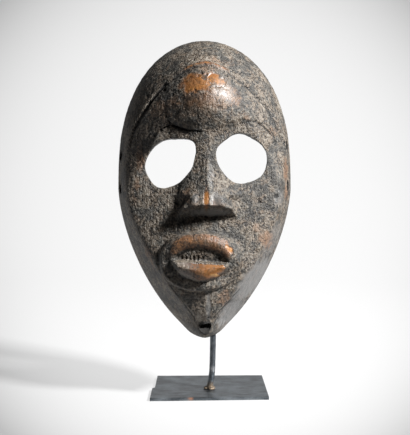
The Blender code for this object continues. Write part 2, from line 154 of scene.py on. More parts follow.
deselect_all()
bpy.ops.mesh.primitive_plane_add(size=1.0, location=(0.0, (SWEEP_FRONT + SWEEP_BACK) / 2.0, 0.0))
sweep = named("paper_sweep")
sweep.scale = (2.0 * SWEEP_HALF_WIDTH, SWEEP_BACK - SWEEP_FRONT, 1.0)
settle()
bpy.ops.object.mode_set(mode="EDIT")
choose(sweep, "EDGE", lambda middle, normal: middle.y > SWEEP_BACK - MM)
bpy.ops.mesh.extrude_region_move(TRANSFORM_OT_translate={"value": (0.0, 0.0, SWEEP_TOP)})
choose(sweep, "EDGE",
       lambda middle, normal: middle.y > SWEEP_BACK - MM and middle.z < MM and abs(middle.x) < MM)
bpy.ops.mesh.bevel(offset=SWEEP_BEND, segments=24, affect="EDGES")
bpy.ops.object.mode_set(mode="OBJECT")
bpy.ops.object.shade_smooth()

deselect_all()
bpy.ops.mesh.primitive_plane_add(size=1.0, location=(0.0, (TABLE_FRONT + SWEEP_FRONT) / 2.0, 0.0))
table = named("table_sheet")
table.scale = (2.0 * SWEEP_HALF_WIDTH, SWEEP_FRONT - TABLE_FRONT, 1.0)
settle()
print("sweep", len(sweep.data.polygons), "faces")

# %% [markdown]
# ## Writing materials as sums
# A material is a chain of nodes. Written as Python expressions the chain reads like the thing it
# says: crust = dark * (1 - worn). One small class wraps a socket and adds a Math node for each
# operator, and one method adds every other kind of node.

# %% The palette: materials from expressions


class Value:
    """A number that changes over a surface."""

    def __init__(self, palette, socket):
        self.palette = palette
        self.socket = socket

    def sum(self, operation, *values, clamp=False):
        settings = {"operation": operation, "use_clamp": clamp}
        return self.palette.node("ShaderNodeMath", settings, dict(enumerate(values)))

    def __add__(self, other):
        return self.sum("ADD", self, other)

    def __sub__(self, other):
        return self.sum("SUBTRACT", self, other)

    def __rsub__(self, other):
        return self.sum("SUBTRACT", other, self)

    def __mul__(self, other):
        return self.sum("MULTIPLY", self, other)

    def __truediv__(self, other):
        return self.sum("DIVIDE", self, other)

    def __pow__(self, other):
        return self.sum("POWER", self, other)

    def clipped(self):
        return self.sum("ADD", self, 0.0, clamp=True)

    def above(self, low, high):
        """Ramp from 0 at low to 1 at high."""
        return ((self - low) * (1.0 / (high - low))).clipped()

    __radd__ = __add__
    __rmul__ = __mul__


class Palette:
    """A material under construction."""

    def __init__(self, name, metallic=0.0):
        self.material = bpy.data.materials.new(name)
        self.material.use_nodes = True
        self.nodes = self.material.node_tree.nodes
        self.links = self.material.node_tree.links
        self.surface = self.nodes["Principled BSDF"]
        self.surface.inputs["Metallic"].default_value = metallic
        self.place = self.node("ShaderNodeTexCoord", {}, {}, "Object")

    def connect(self, socket, value):
        if isinstance(value, Value):
            self.links.new(value.socket, socket)
        else:
            socket.default_value = value

    def node(self, kind, settings, inputs, output=0):
        """Add a node: its settings first, then its inputs by name or number."""
        node = self.nodes.new(kind)
        for name, setting in settings.items():
            if name == "stops":
                self.set_stops(node.color_ramp, setting)
            else:
                setattr(node, name, setting)
        for name, value in inputs.items():
            self.connect(node.inputs[name], value)
        return Value(self, node.outputs[output])

    def set_stops(self, ramp, stops):
        while len(ramp.elements) < len(stops):
            ramp.elements.new(0.5)
        for element, (position, colour) in zip(ramp.elements, stops):
            element.position = position
            element.color = (*colour, 1.0)

    def stretched(self, scale, turn=(0.0, 0.0, 0.0), shift=(0.0, 0.0, 0.0)):
        """The place on the piece, counted in lengths of 1 / scale along each axis."""
        inputs = {"Vector": self.place, "Location": shift, "Rotation": turn, "Scale": scale}
        return self.node("ShaderNodeMapping", {"vector_type": "POINT"}, inputs)

    def noise(self, size, detail=2.0, roughness=0.5, distortion=0.0, place=None):
        """Soft random values round 0.5 with lumps of about this size in metres."""
        inputs = {"Vector": place or self.place, "Scale": 1.0 / size, "Detail": detail,
                  "Roughness": roughness, "Distortion": distortion}
        return self.node("ShaderNodeTexNoise", {"noise_dimensions": "3D"}, inputs, "Fac")

    def distance(self, spot):
        """How far away a spot on the piece is, in metres."""
        return self.node("ShaderNodeVectorMath", {"operation": "DISTANCE"}, {0: self.place, 1: spot}, "Value")

    def kept(self, name):
        """A value stored on the mesh's points."""
        settings = {"attribute_name": name, "attribute_type": "GEOMETRY"}
        return self.node("ShaderNodeAttribute", settings, {}, "Fac")

    def mixed(self, share, first, second):
        """From the first colour to the second as the share goes from 0 to 1."""
        settings = {"data_type": "RGBA", "blend_type": "MIX", "clamp_factor": True}
        colours = [(*c, 1.0) if isinstance(c, tuple) else c for c in (first, second)]
        node = self.nodes.new("ShaderNodeMix")
        for name, setting in settings.items():
            setattr(node, name, setting)
        self.connect(node.inputs[0], share)
        self.connect(node.inputs[6], colours[0])
        self.connect(node.inputs[7], colours[1])
        return Value(self, node.outputs[2])

    def bump(self, height, distance, strength=1.0, under=None):
        """A normal that tilts as if the surface rose by height times distance."""
        inputs = {"Strength": strength, "Distance": distance, "Height": height}
        if under is not None:
            inputs["Normal"] = under
        return self.node("ShaderNodeBump", {}, inputs)

    def finish(self, colour, roughness, normal=None, **more):
        """Wire the surface's own sockets."""
        main = {"Base Color": colour, "Roughness": roughness, "Normal": normal}
        for name, value in (main | more).items():
            if value is not None:
                self.connect(self.surface.inputs[name], (*value, 1.0) if isinstance(value, tuple) else value)
        return self.material


print("palette ready")

# %% [markdown]
# ## The mask's big forms
# The carver roughed the mask out of one half-log with an adze: a flat rim behind, a steep wall
# round the sides, and a face made of a few clear forms. Each form can be written as a height over
# the plane of the rim, and the forms meet in soft or sharp creases, so the same few functions
# that shaped the measured solid shape this finer skin, and the two can't part company.

# %% Curves that shape wood
MASK_PLACE = (-0.0040, -0.0134, 0.0450)
MASK_LEAN = math.radians(4.0)


def smooth_step(low, high, value):
    """Ramp from 0 at low to 1 at high, level at both ends; low may be the larger one."""
    t = np.clip((value - low) / (high - low), 0.0, 1.0)
    return t * t * (3.0 - 2.0 * t)


def soft_min(first, second, rounding):
    """The lower of two heights, with the edge between them rounded."""
    return 0.5 * (first + second - np.sqrt((first - second) ** 2 + rounding ** 2))


def soft_max(first, second, rounding):
    """The higher of two heights, with the corner between them filled."""
    return 0.5 * (first + second + np.sqrt((first - second) ** 2 + rounding ** 2))


def keel(offset, shape):
    """Drop of a ridge beside its crest: shape is the crest's roundness and the slope of its sides."""
    roundness, slope = shape
    return slope * (np.sqrt(offset ** 2 + roundness ** 2) - roundness)


def swell(t, power=0.7):
    """A rounded swelling: 1 in the middle, 0 from t = -1 and t = 1 outwards."""
    return np.clip(1.0 - t * t, 0.0, 1.0) ** power


def between(low, high, value, power):
    """A rounded swelling between two lines, 0 outside them."""
    return swell((2.0 * value - low - high) / np.maximum(high - low, LEAST), power)


print("halfway up a ramp:", smooth_step(0.0, 1.0, 0.5))

# %% [markdown]
# The rim is an egg, widest at eye level, with a blunt point at the chin. A wall climbs from it,
# steeply at the sides and the jaw, and in a long slope over the crown.

# %% The rim and the wall
HALF_WIDTH = 0.0692
WIDEST_Z = 0.1200
TOP_Z = 0.2379
CHIN_Z = -0.0002
CROWN_POWERS = (1.98, 2.58)
JAW_POWERS = (1.43, 1.61)
CHIN_BLUNTNESS = (0.30, 0.0065)
WALL_RISE = 0.215
JAW_SHARE = 0.80
JAW_FADE = (0.065, 0.105)
WALL_POWER = 0.90
CHIN_STEEPNESS = 2.2
CHIN_REACH = 0.010
CROWN_RISE = 0.118
CROWN_POWER = 0.60
CROWN_SHOULDER = 0.18
CROWN_SHOULDER_X = 0.040
CROWN_FADE = (0.125, 0.160)
FACE_EDGES = (0.0012, 0.0060)
FACE_EDGE_FADE = (0.045, 0.100)


def rim_point(angle, inset=0.0):
    """A point of the egg-shaped rim, inset from the outer one; angle 0 is at the right, widest."""
    powers = CROWN_POWERS if math.sin(angle) >= 0.0 else JAW_POWERS
    tall = (TOP_Z - WIDEST_Z if math.sin(angle) >= 0.0 else WIDEST_Z - CHIN_Z) - inset
    across = abs(math.cos(angle)) ** (2.0 / powers[0])
    along = abs(math.sin(angle)) ** (2.0 / powers[1])
    z = WIDEST_Z + tall * math.copysign(along, math.sin(angle))
    share, height = CHIN_BLUNTNESS
    blunter = 1.0 + share * math.exp(-((z - CHIN_Z - inset) / height) ** 2)
    x = (HALF_WIDTH - inset) * math.copysign(across, math.cos(angle)) * blunter
    return x, z


def side_wall(x, z, reach):
    """Height of the wall that climbs from the rim: steep at the sides and chin, sloped at the crown.

    reach is 0 in the middle of the face and 1 on the rim.
    """
    inward = np.clip(1.0 - reach, 0.0, 1.0)
    jaw = JAW_SHARE + (1.0 - JAW_SHARE) * smooth_step(*JAW_FADE, z)
    chin = 1.0 + CHIN_STEEPNESS * np.exp(-(np.clip(z, 0.0, None) / CHIN_REACH) ** 2)
    side = WALL_RISE * jaw * chin * inward ** WALL_POWER
    shoulder = 1.0 - CROWN_SHOULDER * smooth_step(0.0, CROWN_SHOULDER_X, np.abs(x))
    crown = CROWN_RISE * shoulder * inward ** CROWN_POWER
    return side + (crown - side) * smooth_step(*CROWN_FADE, z)


rim_ends = (*rim_point(0.0), *rim_point(math.pi / 2.0))
print("rim at the right and the top, mm:", [round(v / MM, 1) for v in rim_ends])

# %% [markdown]
# The cheeks are nearly flat planes that fold down the middle of the chin. The forehead is a dome
# with a soft keel. Its lower edge, the brow, arches over each eye and hangs over the sockets.

# %% Cheeks, forehead, brow and sockets
FACE_MIDDLE_X = 0.0020
CHIN_HEIGHT = 0.0350
CHIN_FOOT_Z = 0.0140
CHIN_LEAN = 0.31
CHEEK_HEIGHT = 0.0440
CHIN_TOP_ROUNDNESS = 0.0020
CHIN_KEEL = (0.0015, 0.24)
CHEEK_KEEL = (0.0200, 0.25)
KEEL_FADE = (0.036, 0.070)
FOREHEAD_HEIGHT = 0.0585
FOREHEAD_MIDDLE_Z = 0.1820
FOREHEAD_TOP_KEEL = (0.0140, 0.50)
FOREHEAD_FOOT_KEEL = (0.0100, 0.42)
FOREHEAD_ROUNDNESS = 0.0180
FOREHEAD_SLOPES = (0.52, 0.78)
FOREHEAD_SLOPE_FADE = (0.155, 0.192)
BROW_Z = 0.1590
BROW_ARCHES = ((-0.0230, 0.0060, 0.0170), (0.0320, 0.0095, 0.0200))
BROW_END_X = 0.0330
BROW_END_SLOPE = 0.70
BROW_EDGE = 0.0034
BROW_MIDDLE_EDGE = 0.0120
BROW_MIDDLE_WIDTH = 0.0110
BROW_TEMPLE_X = 0.0360
BROW_TEMPLE_EDGE = 0.90
LID_HEIGHT = 0.0045
LID_FADE = (0.1380, 0.1570)
LID_ENDS = (0.0560, 0.0400)
EYE_RADIUS = 0.0184
LEFT_EYE = (-0.0262, 0.1375)
RIGHT_EYE = (0.0288, 0.1417)
SOCKET_SIZE = (0.0330, 0.0300)
SOCKET_DEPTH = 0.0030
EYE_FLARE = 1.064


def cheeks(x, z):
    """The plain of the face: a leaning, sharply keeled chin that widens into nearly flat cheeks."""
    middle = soft_min(CHIN_HEIGHT + CHIN_LEAN * (z - CHIN_FOOT_Z), CHEEK_HEIGHT, CHIN_TOP_ROUNDNESS)
    fade = smooth_step(*KEEL_FADE, z)
    offset = x - FACE_MIDDLE_X
    return middle - keel(offset, CHIN_KEEL) * (1.0 - fade) - keel(offset, CHEEK_KEEL) * fade


def forehead(x, z):
    """The forehead's dome, keeled both ways, fullest above the brow."""
    rise = z - FOREHEAD_MIDDLE_Z
    fall = np.where(rise > 0.0, keel(rise, FOREHEAD_TOP_KEEL), keel(rise, FOREHEAD_FOOT_KEEL))
    steeper = smooth_step(*FOREHEAD_SLOPE_FADE, z)
    slope = FOREHEAD_SLOPES[0] + (FOREHEAD_SLOPES[1] - FOREHEAD_SLOPES[0]) * steeper
    return FOREHEAD_HEIGHT - fall - keel(x - FACE_MIDDLE_X, (FOREHEAD_ROUNDNESS, slope))


def brow_line(x):
    """Height up the face of the brow's edge: an arch over each eye, falling away at the temples."""
    line = BROW_Z - BROW_END_SLOPE * np.clip(np.abs(x) - BROW_END_X, 0.0, None)
    for middle, rise, width in BROW_ARCHES:
        line = line + rise * np.exp(-((x - middle) / width) ** 2)
    return line


def sockets(x, z):
    """Depth of the shallow bowls around the eye holes, less the height of the lids above them."""
    depth = 0.0
    for centre_x, centre_z in (LEFT_EYE, RIGHT_EYE):
        across = (x - centre_x) / SOCKET_SIZE[0]
        along = (z - centre_z) / SOCKET_SIZE[1]
        depth = np.maximum(depth, SOCKET_DEPTH * np.clip(1.0 - across ** 2 - along ** 2, 0.0, 1.0) ** 2)
    return depth - LID_HEIGHT * smooth_step(*LID_FADE, z) * smooth_step(*LID_ENDS, np.abs(x))


forehead_step = float(forehead(0.002, 0.182) - cheeks(0.002, 0.130))
print("forehead stands", round(forehead_step / MM, 1), "mm over the cheeks")

# %% [markdown]
# The nose is a wedge with a sharp ridge and a base that is cut back towards the lip, so it throws
# the long dark shadow that the face is known by. The mouth is a raised oval with its own edge,
# and it carries a long upper lip, a dark gap and a pouting lower lip.

# %% Nose and mouth
NOSE_X = 0.0023
NOSE_TOP_Z = 0.1580
NOSE_TOP_HEIGHT = 0.0495
NOSE_TIP_Z = 0.1040
NOSE_TIP_HEIGHT = 0.0575
NOSE_HOLLOWNESS = 3.2
NOSE_RIDGES = (0.0050, 0.0009)
NOSE_RIDGE_FADE = (0.152, 0.128)
NOSE_SLOPE = 0.36
WING_HALF_WIDTH = 0.0178
WING_TAPER = 0.75
WING_FADE_Z = 0.1045
NOSE_FLANKS = (0.20, 2.2)
NOSE_FLANK_START = 0.0120
NOSE_FLANK_FADE = (0.1135, 0.1040)
NOSE_SKIRT = (0.0190, 0.35)
NOSE_FOOT_ROUNDNESS = 0.0030
NOSE_BASE_ROUNDNESS = 0.0006
NOSE_ROOT = (0.90, 0.0060)
NOSE_BASE_Z = 0.0968
NOSE_BASE_HEIGHT = 0.0425
NOSE_BASE_SLOPE = 1.75
NOSTRIL_OFFSET = 0.0105
NOSTRIL_Z = 0.1085
NOSTRIL_SIZE = (0.0046, 0.0060)
NOSTRIL_HEIGHT = 0.0030
POD_CENTRE = (-0.0025, 0.0630)
POD_SIZE = (0.0302, 0.0215)
POD_POWER = 2.3
POD_HEIGHT = 0.0054
POD_EDGE = (1.07, 0.95)
POD_FOOT = (0.0620, 0.0480)
POD_FOOT_FADE = 0.85
LIP_LINE = (-0.0032, 0.0632, -0.06)
GAP_HALF_WIDTH = 0.0215
GAP_RISE = 0.0090
GAP_POINT = 0.85
GAP_EDGE = 0.0010
GAP_FADE = (0.0, 0.0040)
GAP_DEPTH = 0.0018
UPPER_LIP_HEIGHT = 0.0036
UPPER_LIP_SHAPE = 0.95
UPPER_LIP_FADE = (1.0, 0.60)
LOWER_LIP_HALF_WIDTH = 0.0235
LOWER_LIP_DROP = 0.0150
LOWER_LIP_HEIGHT = 0.0062
LOWER_LIP_POINT = 0.75
LOWER_LIP_SHAPE = 0.6
LOWER_LIP_FADE = (0.0, 0.0090)
LEAST = 1e-5


def nose(x, z):
    """The nose: a ridge whose flanks run out into the cheeks, wide wings, and a base cut back beneath."""
    down = np.clip((NOSE_TOP_Z - z) / (NOSE_TOP_Z - NOSE_TIP_Z), 0.0, 1.05)
    ridge = NOSE_TOP_HEIGHT + (NOSE_TIP_HEIGHT - NOSE_TOP_HEIGHT) * down ** NOSE_HOLLOWNESS
    offset = np.abs(x - NOSE_X)
    sharper = smooth_step(*NOSE_RIDGE_FADE, z)
    roundness = NOSE_RIDGES[0] + (NOSE_RIDGES[1] - NOSE_RIDGES[0]) * sharper
    height = ridge - keel(offset, (roundness, NOSE_SLOPE))
    across = (offset - NOSTRIL_OFFSET) / NOSTRIL_SIZE[0]
    along = (z - NOSTRIL_Z) / NOSTRIL_SIZE[1]
    height = height + NOSTRIL_HEIGHT * np.exp(-across ** 2 - along ** 2)
    wing = WING_HALF_WIDTH - WING_TAPER * np.clip(z - WING_FADE_Z, 0.0, None)
    winged = smooth_step(*NOSE_FLANK_FADE, z)
    plain = NOSE_FLANKS[0] * np.clip(offset - NOSE_FLANK_START, 0.0, None)
    plain = plain + NOSE_SKIRT[1] * np.clip(offset - NOSE_SKIRT[0], 0.0, None)
    height = height - plain - (NOSE_FLANKS[1] * np.clip(offset - wing, 0.0, None) - plain) * winged
    base = NOSE_BASE_HEIGHT + NOSE_BASE_SLOPE * (z - NOSE_BASE_Z)
    slope, roundness = NOSE_ROOT
    root = NOSE_TOP_HEIGHT - slope * (z - NOSE_TOP_Z)
    return soft_min(soft_min(height, base, NOSE_BASE_ROUNDNESS), root, roundness)


def mouth(x, z):
    """Extra height of the mouth: an oval pod with a crisp edge, its upper lip, gap and lower lip."""
    across = np.abs(x - POD_CENTRE[0]) / POD_SIZE[0]
    along = np.abs(z - POD_CENTRE[1]) / POD_SIZE[1]
    reach = (across ** POD_POWER + along ** POD_POWER) ** (1.0 / POD_POWER)
    pod_top = POD_CENTRE[1] + POD_SIZE[1] * swell(across, 1.0 / POD_POWER)
    lip_x, lip_z, tilt = LIP_LINE
    lip_line = lip_z + tilt * (x - lip_x)
    gap_top = lip_line + GAP_RISE * swell((x - lip_x) / GAP_HALF_WIDTH, GAP_POINT)
    lip_foot = lip_line - LOWER_LIP_DROP * swell((x - lip_x) / LOWER_LIP_HALF_WIDTH, LOWER_LIP_POINT)
    upper = between(gap_top, pod_top, z, UPPER_LIP_SHAPE)
    lower = between(lip_foot, lip_line, z, LOWER_LIP_SHAPE)
    depth = np.clip((gap_top - z) / np.maximum(gap_top - lip_line, LEAST), 0.0, 1.0)
    gap = depth * smooth_step(-GAP_EDGE, GAP_EDGE, z - lip_line) * smooth_step(*GAP_FADE, gap_top - lip_line)
    upper = UPPER_LIP_HEIGHT * upper * smooth_step(*UPPER_LIP_FADE, across)
    lower = LOWER_LIP_HEIGHT * lower * smooth_step(*LOWER_LIP_FADE, lip_line - lip_foot)
    foot_fade = 1.0 - POD_FOOT_FADE * smooth_step(0.0, POD_SIZE[0], x) * smooth_step(*POD_FOOT, z)
    return POD_HEIGHT * smooth_step(*POD_EDGE, reach) * foot_fade + upper + lower - GAP_DEPTH * gap


print("mouth stands", round(float(mouth(-0.003, 0.055)) / MM, 1), "mm over the cheek")

# %% [markdown]
# Seen from the front the face is all of these together. The hollow behind it is a plainer copy,
# a wall's thickness further back.

# %% The front and the hollow
RIM_WIDTH = 0.0078
WALL_THICKNESS = 0.0078
HOLLOW_ROUNDING = 0.0080
HOLLOW_BROW = 0.014


def carving(x, z, reach):
    """Height of the mask's front over the plane of its back rim."""
    face = cheeks(x, z) - sockets(x, z)
    brow_edge = BROW_EDGE + BROW_MIDDLE_EDGE * np.exp(-((x - NOSE_X) / BROW_MIDDLE_WIDTH) ** 2)
    brow_edge = brow_edge + BROW_TEMPLE_EDGE * np.clip(np.abs(x) - BROW_TEMPLE_X, 0.0, None)
    over = smooth_step(-1.0, 1.0, (z - brow_line(x)) / brow_edge)
    face = face + (forehead(x, z) - face) * over
    face = soft_max(face, nose(x, z), NOSE_FOOT_ROUNDNESS) + mouth(x, z)
    edge = FACE_EDGES[0] + (FACE_EDGES[1] - FACE_EDGES[0]) * smooth_step(*FACE_EDGE_FADE, z)
    return soft_min(face, side_wall(x, z, reach), edge * smooth_step(1.0, 0.96, reach))


def hollow(x, z, reach):
    """Height of the hollow's floor over the rim: a smoother copy of the front, a wall thickness behind."""
    wall = side_wall(x, z - RIM_WIDTH, reach)
    plain = cheeks(x, z) - SOCKET_DEPTH * 0.45
    over = smooth_step(-HOLLOW_BROW, HOLLOW_BROW, z - brow_line(x))
    face = plain + (forehead(x, z) - plain) * over - WALL_THICKNESS
    return soft_min(face, wall, HOLLOW_ROUNDING * smooth_step(0.0, 0.020, wall))


print("wall at the cheek, mm:", round(float(carving(0.02, 0.09, 0.4) - hollow(0.02, 0.09, 0.4)) / MM, 1))

# %% [markdown]
# The blank is a sphere pressed into a bowl, as a potter presses a ball of clay: the near side
# becomes the face, the far side lines the hollow, and the ring between them is the rim. Operators
# can't press a face like this, so the sphere's own points are moved to the heights above. The face
# gets most of the rings, because its detail is finest there.

# %% The blank
SPOKES = 410
FACE_RINGS = 176
HOLLOW_RINGS = 42
RING_CROWDING = 1.25

deselect_all()
rings = FACE_RINGS + HOLLOW_RINGS
bpy.ops.mesh.primitive_uv_sphere_add(segments=SPOKES, ring_count=rings, radius=1.0)
mask = named("carved_mask")


def points_of(thing):
    """The places of a mesh's points, one row each."""
    places = np.empty(3 * len(thing.data.vertices))
    thing.data.vertices.foreach_get("co", places)
    return places.reshape(-1, 3)


def move_points(thing, places):
    """Put a mesh's points at these places."""
    thing.data.vertices.foreach_set("co", np.ascontiguousarray(places).ravel())
    thing.data.update()


def pressed(ball):
    """The sphere's points pressed into the mask, in its own frame."""
    ring = np.rint(np.arccos(np.clip(ball[:, 2], -1.0, 1.0)) / math.pi * rings)
    near = ring <= FACE_RINGS
    angles = np.arctan2(ball[:, 1], ball[:, 0])
    reach = np.where(near, ring / FACE_RINGS, (rings - ring) / (HOLLOW_RINGS - 1))
    spread = 1.0 - (1.0 - np.clip(reach, 0.0, 1.0)) ** RING_CROWDING
    places = np.zeros_like(ball)
    for half, inset, height in ((near, 0.0, carving), (~near, RIM_WIDTH, hollow)):
        rim = np.array([rim_point(angle, inset) for angle in angles[half]])
        x = spread[half] * rim[:, 0]
        z = WIDEST_Z + spread[half] * (rim[:, 1] - WIDEST_Z)
        lift = np.where(reach[half] > 0.999, 0.0, height(x, z, spread[half]))
        places[half] = np.stack([x, -lift, z], axis=1)
    return places


move_points(mask, pressed(points_of(mask)))
bpy.ops.object.mode_set(mode="EDIT")
bpy.ops.mesh.select_all(action="SELECT")
bpy.ops.mesh.normals_make_consistent(inside=False)
bpy.ops.object.mode_set(mode="OBJECT")
print("blank", len(mask.data.vertices), "points")

# %% [markdown]
# The eyes were cut right through with a knife, so neither is a true circle: the left one has a
# square corner towards the nose. A few waves round the circle draw each outline: first its mean
# radius, then pairs for two humps, three humps and so on. Lace holes for a cord go through the side
# walls, and a hole for a beard climbs through the chin. Each cutter is a circle, extruded step by
# step so that the wall it leaves has points of its own, and all of them are cut away in one go.

# %% The holes
EYE_DEPTHS = (0.066, 0.020)
EYE_STEP = 0.0012
EYE_SIDES = 132
LEFT_EYE_WAVES = (
    18.1, (-0.1, 0.0), (0.27, 2.26), (0.0, 0.82), (-0.38, 0.11), (-0.49, -0.09), (0.0, -0.15),
    (0.0, -0.24),
)
LEFT_EYE_MIDDLE = (-0.0260, 0.1381)
RIGHT_EYE_WAVES = (
    18.3, (0.0, 0.0), (0.33, -0.5), (0.14, 0.14), (0.25, -0.14), (-0.24, 0.23), (-0.14, 0.0),
    (0.08, 0.0),
)
RIGHT_EYE_MIDDLE = (0.0283, 0.1407)
LACE_HOLE_RADIUS = 0.0036
LACE_HOLE_CUT = ((0.010, -0.002), (-0.024, 0.001))
LACE_HOLES = ((-1, 0.1450, 0.0095), (-1, 0.1190, 0.0095), (1, 0.1530, 0.0130), (1, 0.1212, 0.0130))
HOLE_SIDES = 28
BEARD_HOLE = np.array((0.0006, -0.0330, 0.0100))
BEARD_HOLE_CLIMB = np.array((0.0, 1.0, math.tan(math.radians(44.0))))
BEARD_HOLE_REACH = (0.020, 0.030)
BEARD_HOLE_SIZE = (0.0046, 0.0029)


def waved_radius(waves, angle):
    """A radius that waves round the circle: the mean, then the cosine and sine parts of 1, 2, 3 humps."""
    radius = waves[0]
    for humps, (across, up) in enumerate(waves[1:], start=1):
        radius += across * math.cos(humps * angle) + up * math.sin(humps * angle)
    return radius * MM


def cutter(start, end, sides, steps, radii, flare=1.0):
    """A closed bar from start to end whose cross-section has the given radii round it."""
    deselect_all()
    bpy.ops.mesh.primitive_circle_add(vertices=sides, radius=1.0, fill_type="NGON")
    bar = named("cutter")
    bpy.ops.object.mode_set(mode="EDIT")
    bpy.ops.mesh.select_all(action="SELECT")
    for step in range(steps):
        bpy.ops.mesh.extrude_region_move(TRANSFORM_OT_translate={"value": (0.0, 0.0, 1.0 / steps)})
    bpy.ops.mesh.select_all(action="SELECT")
    bpy.ops.mesh.normals_make_consistent(inside=False)
    bpy.ops.object.mode_set(mode="OBJECT")
    places = points_of(bar)
    axis = np.subtract(end, start)
    side = np.cross(axis, (0.0, 0.0, 1.0))
    side = side / np.linalg.norm(side)
    up = np.cross(side, axis / np.linalg.norm(axis))
    angles = np.arctan2(places[:, 1], places[:, 0])
    size = np.array([radii(angle) for angle in angles]) * (1.0 + (flare - 1.0) * places[:, 2:3])
    across = size[:, 0:1] * np.cos(angles)[:, None] * side
    along = size[:, 1:2] * np.sin(angles)[:, None] * up
    move_points(bar, np.add(start, places[:, 2:3] * axis) + across + along)
    bpy.ops.object.mode_set(mode="EDIT")
    bpy.ops.mesh.select_all(action="SELECT")
    bpy.ops.mesh.normals_make_consistent(inside=False)
    bpy.ops.object.mode_set(mode="OBJECT")
    return bar


def oval(size):
    """The same two radii all the way round."""
    return lambda angle: size


def eye(waves):
    """The eye's own outline, as two equal radii at each angle."""
    return lambda angle: (waved_radius(waves, angle),) * 2


cutters = []
eye_steps = round((EYE_DEPTHS[0] - EYE_DEPTHS[1]) / EYE_STEP)
for waves, (x, z) in ((LEFT_EYE_WAVES, LEFT_EYE_MIDDLE), (RIGHT_EYE_WAVES, RIGHT_EYE_MIDDLE)):
    front, back = [(x, -depth, z) for depth in EYE_DEPTHS]
    cutters.append(cutter(front, back, EYE_SIDES, eye_steps, eye(waves), EYE_FLARE))
for side, z, height in LACE_HOLES:
    outside, inside = [(side * (HALF_WIDTH + across), along - height, z) for across, along in LACE_HOLE_CUT]
    cutters.append(cutter(outside, inside, HOLE_SIDES, 30, oval((LACE_HOLE_RADIUS, LACE_HOLE_RADIUS))))
before, behind = BEARD_HOLE_REACH
outside = BEARD_HOLE - before * BEARD_HOLE_CLIMB
inside = BEARD_HOLE + behind * BEARD_HOLE_CLIMB
cutters.append(cutter(outside, inside, HOLE_SIDES, 30, oval(BEARD_HOLE_SIZE)))

deselect_all()
for bar in cutters:
    bar.select_set(True)
bpy.context.view_layer.objects.active = cutters[0]
bpy.ops.object.join()
all_cutters = bpy.context.active_object
deselect_all()
bpy.context.view_layer.objects.active = mask
mask.select_set(True)
drill = mask.modifiers.new("holes", "BOOLEAN")
drill.operation = "DIFFERENCE"
drill.solver = "MANIFOLD"
drill.object = all_cutters
bpy.ops.object.modifier_apply(modifier=drill.name)
bpy.data.objects.remove(all_cutters)
print("drilled", len(mask.data.vertices), "points")

# %% [markdown]
# ## The skin of old wood
# Up close nothing on the mask is smooth. There is a crust of dried patina, lumpy at several
# sizes, over wood whose grain runs up and down, with the shallow scoops of the blade under both.
# All of it is random, but the same each time: a value is drawn for every corner of a grid of
# cells, and blended in between.

# %% Random wood
CORNERS = [(a, b, c) for a in (0, 1) for b in (0, 1) for c in (0, 1)]
HASH_STEPS = (73856093, 19349663, 83492791, 2654435761)


def scrambled(cell, seed):
    """A large whole number for each cell, with no pattern to it."""
    mixed = cell[:, 0] * HASH_STEPS[0] ^ cell[:, 1] * HASH_STEPS[1] ^ cell[:, 2] * HASH_STEPS[2]
    mixed = mixed ^ seed * HASH_STEPS[3]
    for turn in range(2):
        mixed = (mixed ^ (mixed >> 15)) * 1274126177 & 0x7FFFFFFFFF
    return (mixed ^ (mixed >> 17)) & 0x3FFFFFFF


def three_numbers(mixed):
    """Three values from -1 to 1 out of each scrambled number."""
    return np.stack([(mixed >> shift & 1023) / 511.5 - 1.0 for shift in (0, 10, 20)], axis=1)


def lumps(places, size, seed):
    """Soft hills and dips about this size across, between about -1 and 1."""
    scaled = places / size
    cell = np.floor(scaled).astype(np.int64)
    part = scaled - cell
    ease = part ** 3 * (part * (part * 6.0 - 15.0) + 10.0)
    total = np.zeros(len(places))
    for corner in CORNERS:
        slope = three_numbers(scrambled(cell + corner, seed))
        weight = np.prod(np.where(corner, ease, 1.0 - ease), axis=1)
        total += weight * np.sum(slope * (part - corner), axis=1)
    return 1.4 * total


def scoops(places, size, seed):
    """Distance to the nearest of many scattered marks, in marks: 0 on one, about 1 between them."""
    scaled = places / size
    cell = np.floor(scaled).astype(np.int64)
    nearest = np.full(len(places), 9.0)
    for a in (-1, 0, 1):
        for b in (-1, 0, 1):
            for c in (-1, 0, 1):
                near = cell + (a, b, c)
                mark = near + 0.5 + 0.42 * three_numbers(scrambled(near, seed))
                nearest = np.minimum(nearest, np.linalg.norm(scaled - mark, axis=1))
    return nearest


print("lumps run from", np.round(np.percentile(lumps(points_of(mask), 0.004, 1), (2, 98)), 2))

# %% [markdown]
# Where hands and cloth have rubbed it for years the crust is gone, and bare wood shows orange and
# smooth: on the forehead, the ridge of the nose, the lips, and here and there on the cheeks. Each
# rubbed place is an oval in millimetres with a ragged edge: its middle, its half sizes, its turn
# in degrees and how far the crust is gone.

